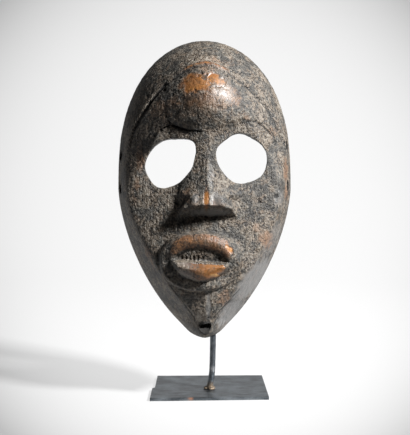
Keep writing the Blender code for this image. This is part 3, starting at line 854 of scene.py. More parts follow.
# %% Rubbed places
FOREHEAD_RUBS = (
    (-6.0, 195.5, 12.0, 9.5, 0.0, 0.85), (8.0, 198.5, 9.5, 4.8, -32.0, 0.9),
    (-3.0, 184.0, 20.0, 7.0, 0.0, 0.34),
    (0.0, 209.0, 17.0, 5.5, 0.0, 0.30),
)
NOSE_RUBS = (
    (1.4, 109.5, 2.2, 8.5, 0.0, 0.95), (9.5, 106.0, 6.0, 4.0, 0.0, 0.30),
    (-8.0, 106.0, 5.0, 4.0, 0.0, 0.22),
)
# The lip ovals go past full, to amber: painted highlights on the upper lip's right edge and on the lower lip.
LIP_RUBS_AND_PAINTED_HIGHLIGHTS = ((18.3, 72.4, 2.0, 5.5, 38.0, 1.15), (7.4, 53.0, 4.6, 1.5, -4.0, 1.3))
LIP_SHARES = (0.60, 0.80)
BROWN_RUBS = (
    (47.4, 80.0, 5.5, 9.0, 20.0, 0.75), (39.0, 88.0, 4.0, 4.0, 0.0, 0.5),
    (63.5, 132.0, 2.6, 10.0, 0.0, 0.9),
    (64.1, 116.0, 2.2, 6.0, 0.0, 0.8), (-49.0, 141.0, 4.2, 12.5, 0.0, 0.7),
    (-42.3, 69.0, 3.2, 8.5, 20.0, 0.6),
    (15.5, 35.5, 5.0, 6.5, 0.0, 0.7), (52.7, 162.0, 4.0, 4.5, 0.0, 0.5),
    (-29.0, 178.0, 13.0, 9.0, 20.0, 0.5),
    (0.0, 184.0, 26.0, 14.0, 0.0, 0.46), (15.0, 190.0, 8.0, 15.0, 38.0, 0.80),
    (-14.0, 112.0, 4.0, 7.0, 0.0, 0.5), (31.0, 176.0, 8.0, 8.0, 0.0, 0.35),
    (-52.0, 118.0, 4.0, 12.0, 0.0, 0.4), (10.0, 214.0, 20.0, 5.0, 0.0, 0.35),
    (-38.0, 58.0, 3.0, 6.0, 20.0, 0.5),
)
# Grey ovals: partly grey wear, partly painted light: a painted sheen on the lower right jaw and the chin's
# ridge, painted light on the nose's underside, in the mouth's gap and on the lit right side.
GREY_WEAR_AND_PAINTED_LIGHT = (
    (38.0, 48.0, 10.0, 26.0, -38.0, 0.9), (20.0, 22.0, 8.0, 16.0, -38.0, 0.9),
    (52.0, 78.0, 7.0, 20.0, -25.0, 0.6),
    (3.0, 28.0, 2.2, 12.0, 0.0, 0.8), (57.0, 190.0, 8.0, 20.0, 30.0, 0.3),
    (8.5, 109.0, 5.0, 6.5, 0.0, 0.75),
    (-7.0, 110.5, 3.2, 4.5, 0.0, 0.6), (5.0, 128.0, 2.5, 11.0, 0.0, 0.5), (57.5, 112.0, 5.0, 9.0, 0.0, 0.6),
    (36.0, 66.0, 12.0, 8.0, 0.0, 0.4), (-3.0, 61.5, 15.0, 3.6, 0.0, 0.75),
    (4.0, 99.5, 17.0, 3.2, 0.0, 0.9), (-15.0, 53.0, 8.0, 4.0, 0.0, 0.55),
)
POLISHED = (
    (13.0, 193.0, 7.0, 15.0, 38.0, 0.85), (8.0, 54.5, 8.0, 3.6, 0.0, 0.9),
    (-4.0, 178.0, 18.0, 8.0, 0.0, 0.35),
)
UPPER_LIP_RUB = (0.30, 0.62)
LOWER_LIP_RUB = (0.25, 0.60)
LOWER_LIP_SIDE = (-0.0250, 0.0020)
RAGGED = 0.38


def oval_share(x, z, ovals, ragged):
    """How far a point lies inside any of the ovals, from 0 outside to its share inside."""
    share = np.zeros_like(x)
    for middle_x, middle_z, wide, tall, turn, most in ovals:
        turn = math.radians(turn)
        across = (x - middle_x * MM) * math.cos(turn) + (z - middle_z * MM) * math.sin(turn)
        along = (z - middle_z * MM) * math.cos(turn) - (x - middle_x * MM) * math.sin(turn)
        inside = 1.0 - np.sqrt((across / (wide * MM)) ** 2 + (along / (tall * MM)) ** 2) + ragged
        share = np.maximum(share, most * smooth_step(-0.40, 0.50, inside))
    return share


def lip_shares(x, z):
    """How far a point lies on the upper and on the lower lip."""
    across = np.abs(x - POD_CENTRE[0]) / POD_SIZE[0]
    pod_top = POD_CENTRE[1] + POD_SIZE[1] * swell(across, 1.0 / POD_POWER)
    lip_line = LIP_LINE[1] + LIP_LINE[2] * (x - LIP_LINE[0])
    gap_top = lip_line + GAP_RISE * swell((x - LIP_LINE[0]) / GAP_HALF_WIDTH, GAP_POINT)
    lip_foot = lip_line - LOWER_LIP_DROP * swell((x - LIP_LINE[0]) / LOWER_LIP_HALF_WIDTH, LOWER_LIP_POINT)
    upper = between(gap_top, pod_top, z, 0.6) * smooth_step(0.95, 0.55, across)
    along_lip = np.abs(x - LIP_LINE[0]) / LOWER_LIP_HALF_WIDTH
    lower = between(lip_foot, lip_line, z, 0.6) * smooth_step(1.0, 0.6, along_lip)
    return upper, lower


print("forehead middle is rubbed", oval_share(np.array([-0.0045]), np.array([0.1965]), FOREHEAD_RUBS, 0.0))

# %% [markdown]
# Some marks have a place of their own: the groove that arches over the forehead with a raised lip
# above it, the cracks under both brows, chips and worm holes, and the notches of the teeth between
# the lips. Each crack is a line of points in millimetres, with its width and depth.

# %% Marks that have a place
HAIRLINE_MIDDLE = (0.0010, 0.1400)
HAIRLINE_SIDES = ((0.0595, 1.62), (0.0620, 1.42))
HAIRLINE_RISE = (0.0705, 1.90)
HAIRLINE_STEEPNESS = 26.0
HAIRLINE_GROOVE = (0.0010, 0.0010)
HAIRLINE_LIP = (0.0007, 0.0015, 0.0023)
HAIRLINE_END = (0.146, 0.156)
HAIRLINE_LIP_LEFT = 0.35
# How much the groove's painted shade fades on its right, lit side.
HAIRLINE_SHADE_FADE_RIGHT = 0.15
CRACKS = (
    (((-31.0, 163.4), (-26.0, 165.6), (-20.0, 163.9), (-13.5, 161.4), (-7.0, 160.6), (-2.5, 159.9)),
     0.8, 0.9),
    (((-27.0, 168.0), (-23.5, 165.4), (-20.5, 163.6)), 0.8, 0.8),
    (((33.0, 168.3), (39.0, 168.6), (44.0, 165.6), (49.2, 161.4), (52.7, 158.3)), 0.8, 0.9),
    (((45.0, 169.0), (49.5, 165.0), (54.0, 158.0), (55.5, 151.0)), 0.7, 0.6),
    (((17.7, 123.4), (20.4, 119.6), (24.6, 115.6)), 0.5, 0.3),
    (((26.5, 229.6), (29.5, 227.0), (33.0, 224.6)), 0.9, 1.1),
    (((-14.5, 111.5), (-15.8, 107.0), (-19.0, 103.0)), 0.9, 0.7),
    (((-45.0, 178.0), (-40.5, 185.5), (-35.5, 192.0), (-29.5, 198.0)), 1.6, 1.0),
    (((-52.0, 166.0), (-48.0, 173.0), (-45.0, 178.0)), 1.0, 0.7),
    (((27.0, 41.0), (21.5, 35.5), (14.0, 27.0), (6.0, 18.4)), 0.8, 0.5),
    (((-27.0, 45.0), (-20.0, 36.0), (-13.0, 26.0), (-7.5, 17.6)), 0.8, 0.6),
)
CHIPS = (
    (42.0, 107.7, 1.6, 0.9), (55.1, 112.3, 2.2, 0.9), (3.1, 19.7, 1.0, 0.9), (3.1, 16.6, 0.9, 0.8),
    (11.5, 177.1, 1.6, 0.7),
    (-10.6, 200.9, 1.1, 0.5), (-2.0, 203.6, 1.6, 0.6), (1.5, 202.0, 1.3, 0.5), (-7.0, 190.0, 1.4, 0.4),
    (3.0, 189.0, 1.5, 0.5),
    (-24.0, 188.0, 1.6, 0.7), (-30.0, 193.0, 1.8, 0.8), (49.6, 104.7, 1.2, 0.5), (36.0, 98.0, 1.1, 0.5),
    (-35.0, 100.0, 1.2, 0.4),
    (30.0, 85.0, 1.2, 0.5), (24.0, 214.0, 1.4, 0.5), (-8.0, 216.0, 1.3, 0.5), (38.0, 120.0, 1.2, 0.5),
    (-12.0, 125.5, 1.2, 0.6),
    (-21.4, 190.1, 3.2, 0.35), (-17.0, 184.5, 2.4, 0.30), (-1.8, 185.6, 2.8, 0.30),
    (3.4, 184.0, 2.2, 0.28), (-0.3, 200.5, 2.6, 0.5),
    (-4.6, 201.5, 1.5, 0.5), (-43.5, 189.5, 2.0, 0.5),
    (60.2, 150.5, 1.6, 0.8), (-33.0, 162.0, 1.4, 0.8), (-38.0, 158.0, 1.2, 0.7), (13.0, 88.0, 1.0, 0.4),
    (-6.0, 93.0, 1.1, 0.4),
)
CRACK_HALF = 0.62
FAR = 4.0
TOOTH_PITCH = 0.0031
TOOTH_DEPTH = 0.0008
TOOTH_BAND = (0.0004, 0.0046)
TOOTH_WANDER = 0.0016
POD_LINE = (0.0011, 0.028, 0.985)


def hairline(x, z):
    """Height of the arched groove and of its lip, and how far the point is beyond the groove."""
    left, right = [(np.abs(x - HAIRLINE_MIDDLE[0]) / wide) ** power for wide, power in HAIRLINE_SIDES]
    across = np.where(x < HAIRLINE_MIDDLE[0], left, right)
    tall, power = HAIRLINE_RISE
    along = (np.clip(z - HAIRLINE_MIDDLE[1], 0.0, None) / tall) ** power
    beyond = (across + along - 1.0) / HAIRLINE_STEEPNESS
    depth, width = HAIRLINE_GROOVE
    height, breadth, place = HAIRLINE_LIP
    groove = depth * np.exp(-(beyond / width) ** 2)
    lip = height * np.exp(-((beyond - place) / breadth) ** 2)
    lip = lip * (HAIRLINE_LIP_LEFT + (1.0 - HAIRLINE_LIP_LEFT) * smooth_step(-0.030, 0.010, x))
    return (lip - groove) * smooth_step(*HAIRLINE_END, z), beyond


def distance_to_line(x, z, line):
    """Distance in the plane of the face from each point to a line of points."""
    nearest = np.full_like(x, 1.0)
    for (x0, z0), (x1, z1) in zip(line, line[1:]):
        start, run = np.array((x0, z0)) * MM, np.array((x1 - x0, z1 - z0)) * MM
        share = ((x - start[0]) * run[0] + (z - start[1]) * run[1]) / np.dot(run, run)
        share = np.clip(share, 0.0, 1.0)
        nearest = np.minimum(nearest, np.hypot(x - start[0] - share * run[0], z - start[1] - share * run[1]))
    return nearest


def named_marks(x, z, wander):
    """Depth of the cracks and chips, and the distance to the nearest crack in its own half widths."""
    depth = np.zeros_like(x)
    nearest = np.full_like(x, FAR)
    for line, width, most in CRACKS:
        away = distance_to_line(x, z, line) / (CRACK_HALF * width * MM)
        nearest = np.minimum(nearest, away)
        depth = np.maximum(depth, most * MM * np.exp(-(away * (1.0 + 0.5 * wander)) ** 2))
    for middle_x, middle_z, radius, most in CHIPS:
        away = np.hypot(x - middle_x * MM, z - middle_z * MM) * (1.0 + 0.6 * wander)
        depth = np.maximum(depth, most * MM * smooth_step(radius * MM, 0.35 * radius * MM, away))
    return depth, nearest


def tooth_notches(x, z, wander):
    """Depth of the rough notches in the gap between the lips."""
    over = z - LIP_LINE[1] - LIP_LINE[2] * (x - LIP_LINE[0])
    inside = smooth_step(GAP_HALF_WIDTH * 0.95, GAP_HALF_WIDTH * 0.7, np.abs(x - LIP_LINE[0]))
    band = smooth_step(0.0, TOOTH_BAND[0], over) * smooth_step(TOOTH_BAND[1], 0.6 * TOOTH_BAND[1], over)
    wave = np.cos(2.0 * math.pi * (x + TOOTH_WANDER * wander) / TOOTH_PITCH)
    return TOOTH_DEPTH * inside * band * (0.5 - 0.5 * wave) * smooth_step(-0.6, 0.3, wander)


def pod_line(x, z):
    """The raised line that edges the mouth's oval."""
    across = np.abs(x - POD_CENTRE[0]) / POD_SIZE[0]
    along = np.abs(z - POD_CENTRE[1]) / POD_SIZE[1]
    reach = (across ** POD_POWER + along ** POD_POWER) ** (1.0 / POD_POWER)
    height, width, place = POD_LINE
    return height * np.exp(-((reach - place) / width) ** 2) * smooth_step(0.012, -0.010, x)


print(len(CRACKS), "cracks and", len(CHIPS), "chips")

# %% [markdown]
# Now the skin itself. Every point moves along its own normal by the sum of the lumps, the grain
# and the marks, less where the wood is rubbed smooth and less inside the hollow. What was worked
# out on the way is kept on the mesh for the colours: how rubbed and how brown each point is, where
# grey wear and painted light go, how deep each point is and where the holes get painted shade.

# %% The skin
CRUST_LUMPS = ((0.0062, 0.16), (0.0031, 0.16), (0.0016, 0.13))
GRAIN_SIZE = (0.0017, 0.0017, 0.0170)
GRAIN_HEIGHT = 0.13
SCOOP_SIZE = (0.017, 0.020, 0.024)
SCOOP_HEIGHT = 0.30
SWELLS = (0.030, 0.28)
HOLLOW_CALM = 0.55
RUBBED_CALM = 0.78


def hole_shade_share(places):
    """1 inside the lace holes and the chin hole, where painted shade darkens the wood, 0 elsewhere."""
    share = np.zeros(len(places))
    axes = [(BEARD_HOLE, BEARD_HOLE_CLIMB, max(BEARD_HOLE_SIZE))]
    for side, z, height in LACE_HOLES:
        ends = [np.array((side * (HALF_WIDTH + across), along - height, z))
                for across, along in LACE_HOLE_CUT]
        axes.append((ends[0], ends[1] - ends[0], LACE_HOLE_RADIUS))
    for start, along, radius in axes:
        along = along / np.linalg.norm(along)
        offset = places - start
        away = np.linalg.norm(offset - np.outer(offset @ along, along), axis=1)
        share = np.maximum(share, smooth_step(1.25, 0.95, away / radius))
    return share


def skin(places, normals):
    """How far each point moves along its normal, and the shares kept for the colours."""
    x, z = places[:, 0], places[:, 2]
    from_middle = places - (0.0, 0.0, WIDEST_Z)
    facing = np.sum(normals * from_middle, axis=1) / np.linalg.norm(from_middle, axis=1)
    at_eye = np.zeros(len(x), dtype=bool)
    for eye_x, eye_z in (LEFT_EYE_MIDDLE, RIGHT_EYE_MIDDLE):
        at_eye |= (np.hypot(x - eye_x, z - eye_z) < EYE_RADIUS + 0.0035) & (places[:, 1] < -EYE_DEPTHS[1])
    outer = np.where(at_eye, 1.0, smooth_step(-0.25, -0.05, facing))
    ragged = RAGGED * (lumps(places, 0.0050, 11) + 0.6 * lumps(places, 0.0022, 12))
    arch, beyond = hairline(x, z)
    upper_lip, lower_lip = lip_shares(x, z)
    rubbed = np.maximum(oval_share(x, z, FOREHEAD_RUBS, ragged), oval_share(x, z, NOSE_RUBS, ragged * 0.6))
    arc = np.exp(-((beyond - 0.0022) / 0.0013) ** 2)
    arc = arc * smooth_step(0.021, 0.012, np.abs(x - 0.002)) * (z > 0.18)
    rubbed = np.maximum(rubbed, arc * smooth_step(-0.5, 0.2, ragged))
    rubbed = np.maximum(rubbed, LIP_SHARES[0] * smooth_step(*UPPER_LIP_RUB, upper_lip + 0.35 * ragged))
    lower_rub = smooth_step(*LOWER_LIP_SIDE, x) * smooth_step(*LOWER_LIP_RUB, lower_lip + 0.6 * ragged)
    rubbed = np.maximum(rubbed, LIP_SHARES[1] * lower_rub)
    rubbed = np.maximum(rubbed, oval_share(x, z, LIP_RUBS_AND_PAINTED_HIGHLIGHTS, ragged) * (upper_lip + lower_lip > 0.05))
    rubbed = rubbed * outer
    brown = oval_share(x, z, BROWN_RUBS, ragged) * outer
    # Where grey wear and painted light go: a painted sheen on the lower right jaw, painted light under the
    # nose and in the mouth's gap.
    grey = oval_share(x, z, GREY_WEAR_AND_PAINTED_LIGHT, 0.6 * ragged) * outer
    crust = sum(height * lumps(places, size, seed)
                for seed, (size, height) in enumerate(CRUST_LUMPS, start=21))
    grain = GRAIN_HEIGHT * lumps(places / GRAIN_SIZE, 1.0, 31)
    grain += 0.5 * GRAIN_HEIGHT * lumps(places / np.multiply(GRAIN_SIZE, 0.5), 1.0, 32)
    blade = SCOOP_HEIGHT * (scoops(places / SCOOP_SIZE, 1.0, 41) - 0.6)
    swells = SWELLS[1] * lumps(places, SWELLS[0], 51)
    calm = (1.0 - RUBBED_CALM * rubbed) * (HOLLOW_CALM + (1.0 - HOLLOW_CALM) * outer)
    chipped, crack = named_marks(x, z, lumps(places, 0.0025, 61))
    marks = (chipped + tooth_notches(x, z, lumps(places, 0.0052, 62))) * outer
    # Dark paint along the groove: painted shade, fading on the right, lit side.
    groove = np.abs(beyond) / HAIRLINE_GROOVE[1] + HAIRLINE_SHADE_FADE_RIGHT * smooth_step(-0.02, 0.02, x)
    groove = groove + 0.6 * lumps(places, 0.0050, 21)
    groove = np.where((beyond > -0.02) & (z > HAIRLINE_END[1]), groove, FAR)
    # Inside the holes the wood gets painted shade.
    holes = hole_shade_share(places)
    fine = (crust + grain) * calm
    lift = fine + (blade * (1.3 - 0.6 * outer) + swells) * (1.0 - 0.5 * rubbed)
    lift = lift * MM + (arch + pod_line(x, z)) * outer * (places[:, 1] < -0.005) - marks
    on_rim = smooth_step(-0.0005, -0.004, places[:, 1])
    lift = lift * (0.25 + 0.75 * on_rim)
    shares = {"rubbed": rubbed, "brown": brown, "outer": outer, "grey": grey,
              "polish": np.maximum(grey, oval_share(x, z, POLISHED, 0.3 * ragged) * outer),
              "deep": np.maximum(np.clip(marks / MM, 0.0, 1.0), holes), "fine": 0.5 + fine,
              "crack": np.minimum(crack, FAR), "groove": np.minimum(groove, FAR)}
    return lift, shares


def normals_of(thing):
    """The directions that a mesh's points face, one row each."""
    directions = np.empty(3 * len(thing.data.vertices))
    thing.data.vertices.foreach_get("normal", directions)
    return directions.reshape(-1, 3)


def keep_share(thing, name, values):
    """Store one value for each point of a mesh."""
    layer = thing.data.attributes.new(name, "FLOAT", "POINT")
    layer.data.foreach_set("value", np.ascontiguousarray(values, dtype=np.float32))


places = points_of(mask)
lift, shares = skin(places, normals_of(mask))
move_points(mask, places + normals_of(mask) * lift[:, None])
for name, values in shares.items():
    keep_share(mask, name, values)
print("skin moves by", np.round(np.percentile(lift, (1, 50, 99)) / MM, 2), "mm")

# %% [markdown]
# The edges of the eyes and the drilled holes are worn round. The points near each sharp edge round
# the holes are chosen and smoothed a few times, which rounds the edge over about a millimetre. The
# nose, the lips and the cracks keep their edges.

# %% Worn edges
EDGE_ANGLE = math.radians(38.0)
WORN_REACH = 0.0016
WORN_PASSES = 3


def near_a_hole(place):
    """Whether a point lies at the edge of an eye, a lace hole or the chin hole."""
    for waves, (x, z) in ((LEFT_EYE_WAVES, LEFT_EYE_MIDDLE), (RIGHT_EYE_WAVES, RIGHT_EYE_MIDDLE)):
        across, up = place.x - x, place.z - z
        if math.hypot(across, up) < waved_radius(waves, math.atan2(up, across)) + WORN_REACH:
            return True
    at_chin = abs(place.x - BEARD_HOLE[0]) < 2.0 * BEARD_HOLE_SIZE[0] and place.z < BEARD_HOLE[2] + 0.008
    return abs(place.x) > HALF_WIDTH - 0.016 or at_chin


deselect_all()
mask.select_set(True)
bpy.context.view_layer.objects.active = mask
bpy.ops.object.mode_set(mode="EDIT")
bpy.ops.mesh.select_all(action="DESELECT")
bpy.ops.mesh.select_mode(type="EDGE")
bpy.ops.mesh.edges_select_sharp(sharpness=EDGE_ANGLE)
bpy.ops.mesh.select_mode(type="VERT")
shape = bmesh.from_edit_mesh(mask.data)
for point in shape.verts:
    if point.select and not near_a_hole(point.co):
        point.select = False
shape.select_flush_mode()
bmesh.update_edit_mesh(mask.data)
bpy.ops.mesh.vertices_smooth(factor=0.5, repeat=WORN_PASSES)
bpy.ops.mesh.select_all(action="SELECT")
bpy.ops.mesh.quads_convert_to_tris()
bpy.ops.object.mode_set(mode="OBJECT")
bpy.ops.object.shade_smooth()
print("mask", len(mask.data.polygons), "triangles")

# %% [markdown]
# The mask is leaned back and set on its stand, and anything that the crust pushed past the
# measured solid's own box is pressed back to it.

# %% On the stand


def as_corners(node):
    """The lowest and highest corners of a measured solid."""
    low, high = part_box(node)
    return np.array(low), np.array(high)


def pressed_into_box(thing, node):
    """Keep a piece inside the box of the solid that it stands for."""
    low, high = as_corners(node)
    places = points_of(thing)
    move_points(thing, np.clip(places, low, high))
    return float(np.abs(places - np.clip(places, low, high)).max())


mask.rotation_euler = (-MASK_LEAN, 0.0, 0.0)
mask.location = MASK_PLACE
settle()
print("pressed back by at most", round(pressed_into_box(mask, "mask") / MM, 2), "mm")

# %% [markdown]
# ## The colours of the mask
# The crust is nearly black in its dips and dusty grey-brown on its bumps. Under it the wood is
# brown, and where it is rubbed bare it is orange, with dark stains and a sheen from handling. Some
# of the colour is painted light: a grey sheen painted on the lower right jaw and the chin's ridge,
# painted light under the nose, in the mouth's gap and on the lit right side, amber painted
# highlights on the lips, and painted shade in the holes, cracks, chips, notches and the arched
# groove. The shares kept on the mesh say where each is, and noise breaks them up more finely than
# the mesh can: fibres along the grain, specks, flecks and patches, from fine to coarse.

# %% Old wood
# Near black: the crust's patina in its dips, and painted shade in the holes, cracks, chips, notches and the
# groove.
SOOT_AND_PAINTED_SHADE = (0.006, 0.0055, 0.005)
CRUST = (0.068, 0.062, 0.053)
CRUST_BROWN = (0.096, 0.066, 0.041)
HANDLED = (0.150, 0.098, 0.060)
STAIN = (0.070, 0.028, 0.015)
DUST = (0.206, 0.190, 0.162)
BROWN = (0.105, 0.054, 0.027)
ORANGE = (0.300, 0.118, 0.024)
# Amber: bare wood rubbed past full, and the lips' painted highlights.
AMBER_AND_PAINTED_HIGHLIGHT = (0.480, 0.260, 0.080)
# Grey wood, also the colour of the painted sheen and painted light.
GREY_WOOD_AND_PAINTED_SHEEN = (0.150, 0.147, 0.143)
LIGHT_WOOD = (0.270, 0.150, 0.085)
FIBRE_SIZE = 0.0019
FIBRE_STRETCH = (1.0, 1.0, 0.18)
SPECKLE_SIZE = 0.0016
FLECK_SIZE = 0.0060
PATCH_SIZE = 0.0170
PORE_SIZE = 0.0009
RELIEF_DEPTH = 0.0017


def old_wood_with_painted_light():
    """Crusty patina over brown wood, rubbed to orange, with painted light, painted sheen, painted highlights
    and painted shade in places.
    """
    wood = Palette("old_wood_with_painted_light")
    rubbed, brown, grey, polish = [wood.kept(name) for name in ("rubbed", "brown", "grey", "polish")]
    fine, deep, crack, groove = [wood.kept(name) for name in ("fine", "deep", "crack", "groove")]
    fibres = wood.noise(FIBRE_SIZE, 3.0, 0.6, 0.4, wood.stretched(FIBRE_STRETCH))
    speckle = wood.noise(SPECKLE_SIZE, 3.0, 0.62)
    flecks = wood.noise(FLECK_SIZE, 3.0, 0.65)
    patches = wood.noise(PATCH_SIZE, 3.0, 0.6)
    height = fine + (speckle - 0.5) * 2.5 + (fibres - 0.5) * 0.5
    tint = wood.mixed((patches + (flecks - 0.5) * 0.9).above(0.42, 0.62), CRUST, CRUST_BROWN)
    crust = wood.mixed(height.above(0.12, 0.55), SOOT_AND_PAINTED_SHADE, tint)
    crust = wood.mixed((patches * 0.5 + flecks * 0.5).above(0.48, 0.38) * 0.60, crust, SOOT_AND_PAINTED_SHADE)
    crust = wood.mixed((height + (flecks - 0.5) * 1.2 + (patches - 0.5) * 1.2).above(0.50, 1.15), crust, DUST)
    # Grey wear and painted light: a painted sheen and painted light where the grey share is.
    crust = wood.mixed((grey + (flecks - 0.5) * 0.8).above(0.30, 0.90) * 0.85, crust, GREY_WOOD_AND_PAINTED_SHEEN)
    worn = rubbed + (flecks - 0.5) * 1.2 + (speckle - 0.5) * 0.9
    under = brown + (flecks - 0.5) * 1.6 + (fibres - 0.5) * 0.8
    bare = wood.mixed(worn.above(0.40, 1.05), BROWN, ORANGE)
    # Amber where rubbed past full: on the lips, painted highlights.
    bare = wood.mixed((worn + (fibres - 0.5) * 1.2).above(1.00, 1.40), bare, AMBER_AND_PAINTED_HIGHLIGHT)
    plain_wood = wood.mixed(height.above(0.2, 1.0), BROWN, LIGHT_WOOD)
    colour = wood.mixed(under.above(0.25, 0.95) * 0.75, crust, plain_wood)
    colour = wood.mixed(worn.above(0.08, 1.00), colour, bare)
    colour = wood.mixed((0.42 - height) * 1.6 * (1.0 - polish * 0.8), colour, SOOT_AND_PAINTED_SHADE)
    handled = (polish - grey).clipped() * (1.0 - worn.above(0.08, 1.00))
    colour = wood.mixed(handled, colour, wood.mixed(height.above(-0.2, 1.3), SOOT_AND_PAINTED_SHADE, HANDLED))
    stained = (flecks * 0.6 + patches * 0.4 + (speckle - 0.5) * 0.3).above(0.50, 0.58)
    stained = stained * rubbed.above(0.2, 0.6)
    colour = wood.mixed(stained * 0.55, colour, STAIN)
    # Painted shade: darker along the cracks and the groove, the groove less so on its right, lit side, darker
    # the deeper a chip or notch, and inside the holes.
    wander = (speckle - 0.5) * 2.4
    colour = wood.mixed((crack + wander).above(1.00, 0.40) * 0.92, colour, SOOT_AND_PAINTED_SHADE)
    colour = wood.mixed((groove + wander + (patches - 0.5) * 2.0).above(1.10, 0.45) * 0.85, colour, SOOT_AND_PAINTED_SHADE)
    colour = wood.mixed(deep * 0.97, colour, SOOT_AND_PAINTED_SHADE)
    calm = 1.0 - rubbed * 0.72 - polish * 0.80
    roughness = 0.58 - rubbed * 0.16 - polish * 0.13 + (speckle - 0.5) * 0.6 * calm.clipped() + deep * 0.3
    relief = speckle * 0.6 + fibres * 0.4 + wood.noise(PORE_SIZE, 2.0, 0.6) * 0.2
    normal = wood.bump(relief * calm.clipped(), RELIEF_DEPTH, 1.0)
    return wood.finish(colour, roughness, normal)


mask.data.materials.clear()
mask.data.materials.append(old_wood_with_painted_light())
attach(mask, "root")
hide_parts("mask")
print("mask dressed")

# %% [markdown]
# ## The steel plate
# The foot is a piece of flat bar, 2.5 mm thick, sawn by hand: no corner is quite square and the
# left edge has a step where two cuts didn't meet. A flat grid is pulled out to the four corners,
# the step is pushed in, and the sheet is extruded to its thickness. The sawn edges are bevelled
# and knocked about a little.

# %% The plate
PLATE_THICKNESS = 0.0025
PLATE_LEFT = -0.0466
PLATE_STEP = 0.0021
PLATE_STEP_Y = -0.0073
PLATE_RIGHT = (0.0466, 0.0455)
PLATE_FRONT = (-0.0386, -0.0342)
PLATE_BACK = (0.0352, 0.0370)
PLATE_EDGE = 0.0003
PLATE_SQUARES = (124, 100)
EDGE_KNOCKS = (0.0045, 0.00022)
FACE_KNOCKS = (0.0120, 0.00012)

deselect_all()
bpy.ops.mesh.primitive_grid_add(x_subdivisions=PLATE_SQUARES[0], y_subdivisions=PLATE_SQUARES[1], size=1.0)
plate = named("foot_plate")
flat = points_of(plate)
right = flat[:, 0] + 0.5
back = flat[:, 1] + 0.5
front_y = PLATE_FRONT[0] + (PLATE_FRONT[1] - PLATE_FRONT[0]) * right
back_y = PLATE_BACK[0] + (PLATE_BACK[1] - PLATE_BACK[0]) * right
y = front_y + (back_y - front_y) * back
left_x = PLATE_LEFT + PLATE_STEP * smooth_step(PLATE_STEP_Y, PLATE_STEP_Y + PLATE_STEP, y)
right_x = PLATE_RIGHT[0] + (PLATE_RIGHT[1] - PLATE_RIGHT[0]) * back
move_points(plate, np.stack([left_x + (right_x - left_x) * right, y, np.zeros_like(y)], axis=1))
bpy.ops.object.mode_set(mode="EDIT")
bpy.ops.mesh.select_all(action="SELECT")
bpy.ops.mesh.extrude_region_move(TRANSFORM_OT_translate={"value": (0.0, 0.0, PLATE_THICKNESS)})
bpy.ops.mesh.select_all(action="SELECT")
bpy.ops.mesh.normals_make_consistent(inside=False)
bpy.ops.mesh.select_all(action="DESELECT")
bpy.ops.mesh.select_mode(type="EDGE")
bpy.ops.mesh.edges_select_sharp(sharpness=math.radians(60.0))
bpy.ops.mesh.bevel(offset=PLATE_EDGE, segments=2, affect="EDGES")
bpy.ops.mesh.select_all(action="SELECT")
bpy.ops.mesh.quads_convert_to_tris()
bpy.ops.object.mode_set(mode="OBJECT")
places = points_of(plate)
inward = -normals_of(plate)
side_on = 1.0 - np.abs(inward[:, 2])
knocks = EDGE_KNOCKS[1] * (0.5 + 0.5 * lumps(places, EDGE_KNOCKS[0], 71)) * side_on
dents = 0.5 + 0.5 * lumps(places, FACE_KNOCKS[0], 72)
knocks += FACE_KNOCKS[1] * dents * (1.0 - side_on) * (places[:, 2] > 0.001)
move_points(plate, places + inward * knocks[:, None])
bpy.ops.object.shade_smooth_by_angle(angle=math.radians(35.0))
print("plate", len(plate.data.polygons), "triangles")

# %% [markdown]
# The steel was blackened and oiled, which leaves it blue-grey with faint streaks from the rolling
# mill, a few scuffs, and a spot of rust on the front edge.

# %% Blackened steel
RUST_SPOT = (-0.0147, -0.0384, 0.0020)
RUST_REACH = 0.0032


def blackened_plate():
    """Blue-grey rolled steel with streaks, scuffs and a spot of rust."""
    steel = Palette("blackened_plate", metallic=1.0)
    streaks = steel.noise(0.0022, 3.0, 0.65, place=steel.stretched((0.14, 1.0, 1.0)))
    cloud = steel.noise(0.0140, 4.0, 0.6)
    grit = steel.noise(0.0009, 2.0, 0.6)
    tone = (streaks * 0.5 + cloud * 0.8 + grit * 0.3) / 1.6
    colour = steel.mixed(tone.above(0.40, 0.60), (0.045, 0.052, 0.060), (0.215, 0.236, 0.252))
    away = steel.distance(RUST_SPOT)
    rust = 1.0 - (away + (grit - 0.5) * 0.002).above(0.35 * RUST_REACH, RUST_REACH)
    colour = steel.mixed(rust * 0.85, colour, (0.300, 0.120, 0.050))
    roughness = 0.46 + (cloud - 0.5) * 0.35 + (grit - 0.5) * 0.2
    normal = steel.bump(streaks + grit * 0.7, 0.0002, 0.5)
    return steel.finish(colour, roughness, normal, Metallic=1.0 - rust * 0.8)


plate.data.materials.clear()
plate.data.materials.append(blackened_plate())
print("plate dressed:", round(pressed_into_box(plate, "plate") / MM, 2), "mm pressed back")
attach(plate, "root")
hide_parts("plate")

# %% [markdown]
# ## The rod
# A 5 mm round bar stands a little askew on the plate. It is kinked just above its weld, goes
# straight up behind the chin, runs up inside the hollow and bends forward to bear under the
# forehead. It is one circle extruded along the bar, and its rings are then laid along the route.

# %% The rod
ROD_RADIUS = 0.0025
ROD_FOOT = (0.0000, -0.0100)
ROD_KINK = (0.0022, -0.0099, 0.0160)
ROD_CHIN = (0.0030, -0.0100, 0.0460)
ROD_EYES = (-0.0005, -0.0092, 0.1500)
ROD_NECK = (-0.0030, -0.0110, 0.2020)
ROD_TIP = (-0.0038, -0.0443, 0.2436)
ROD_BENDS = (0.004, 0.012, 0.020, 0.018)
ROD_STEPS = 5
WELD_SPREAD = 0.0027
WELD_START = math.radians(-70.0)
GAP = 0.0003
ROD_ROUND = 26
ROD_RINGS = 230


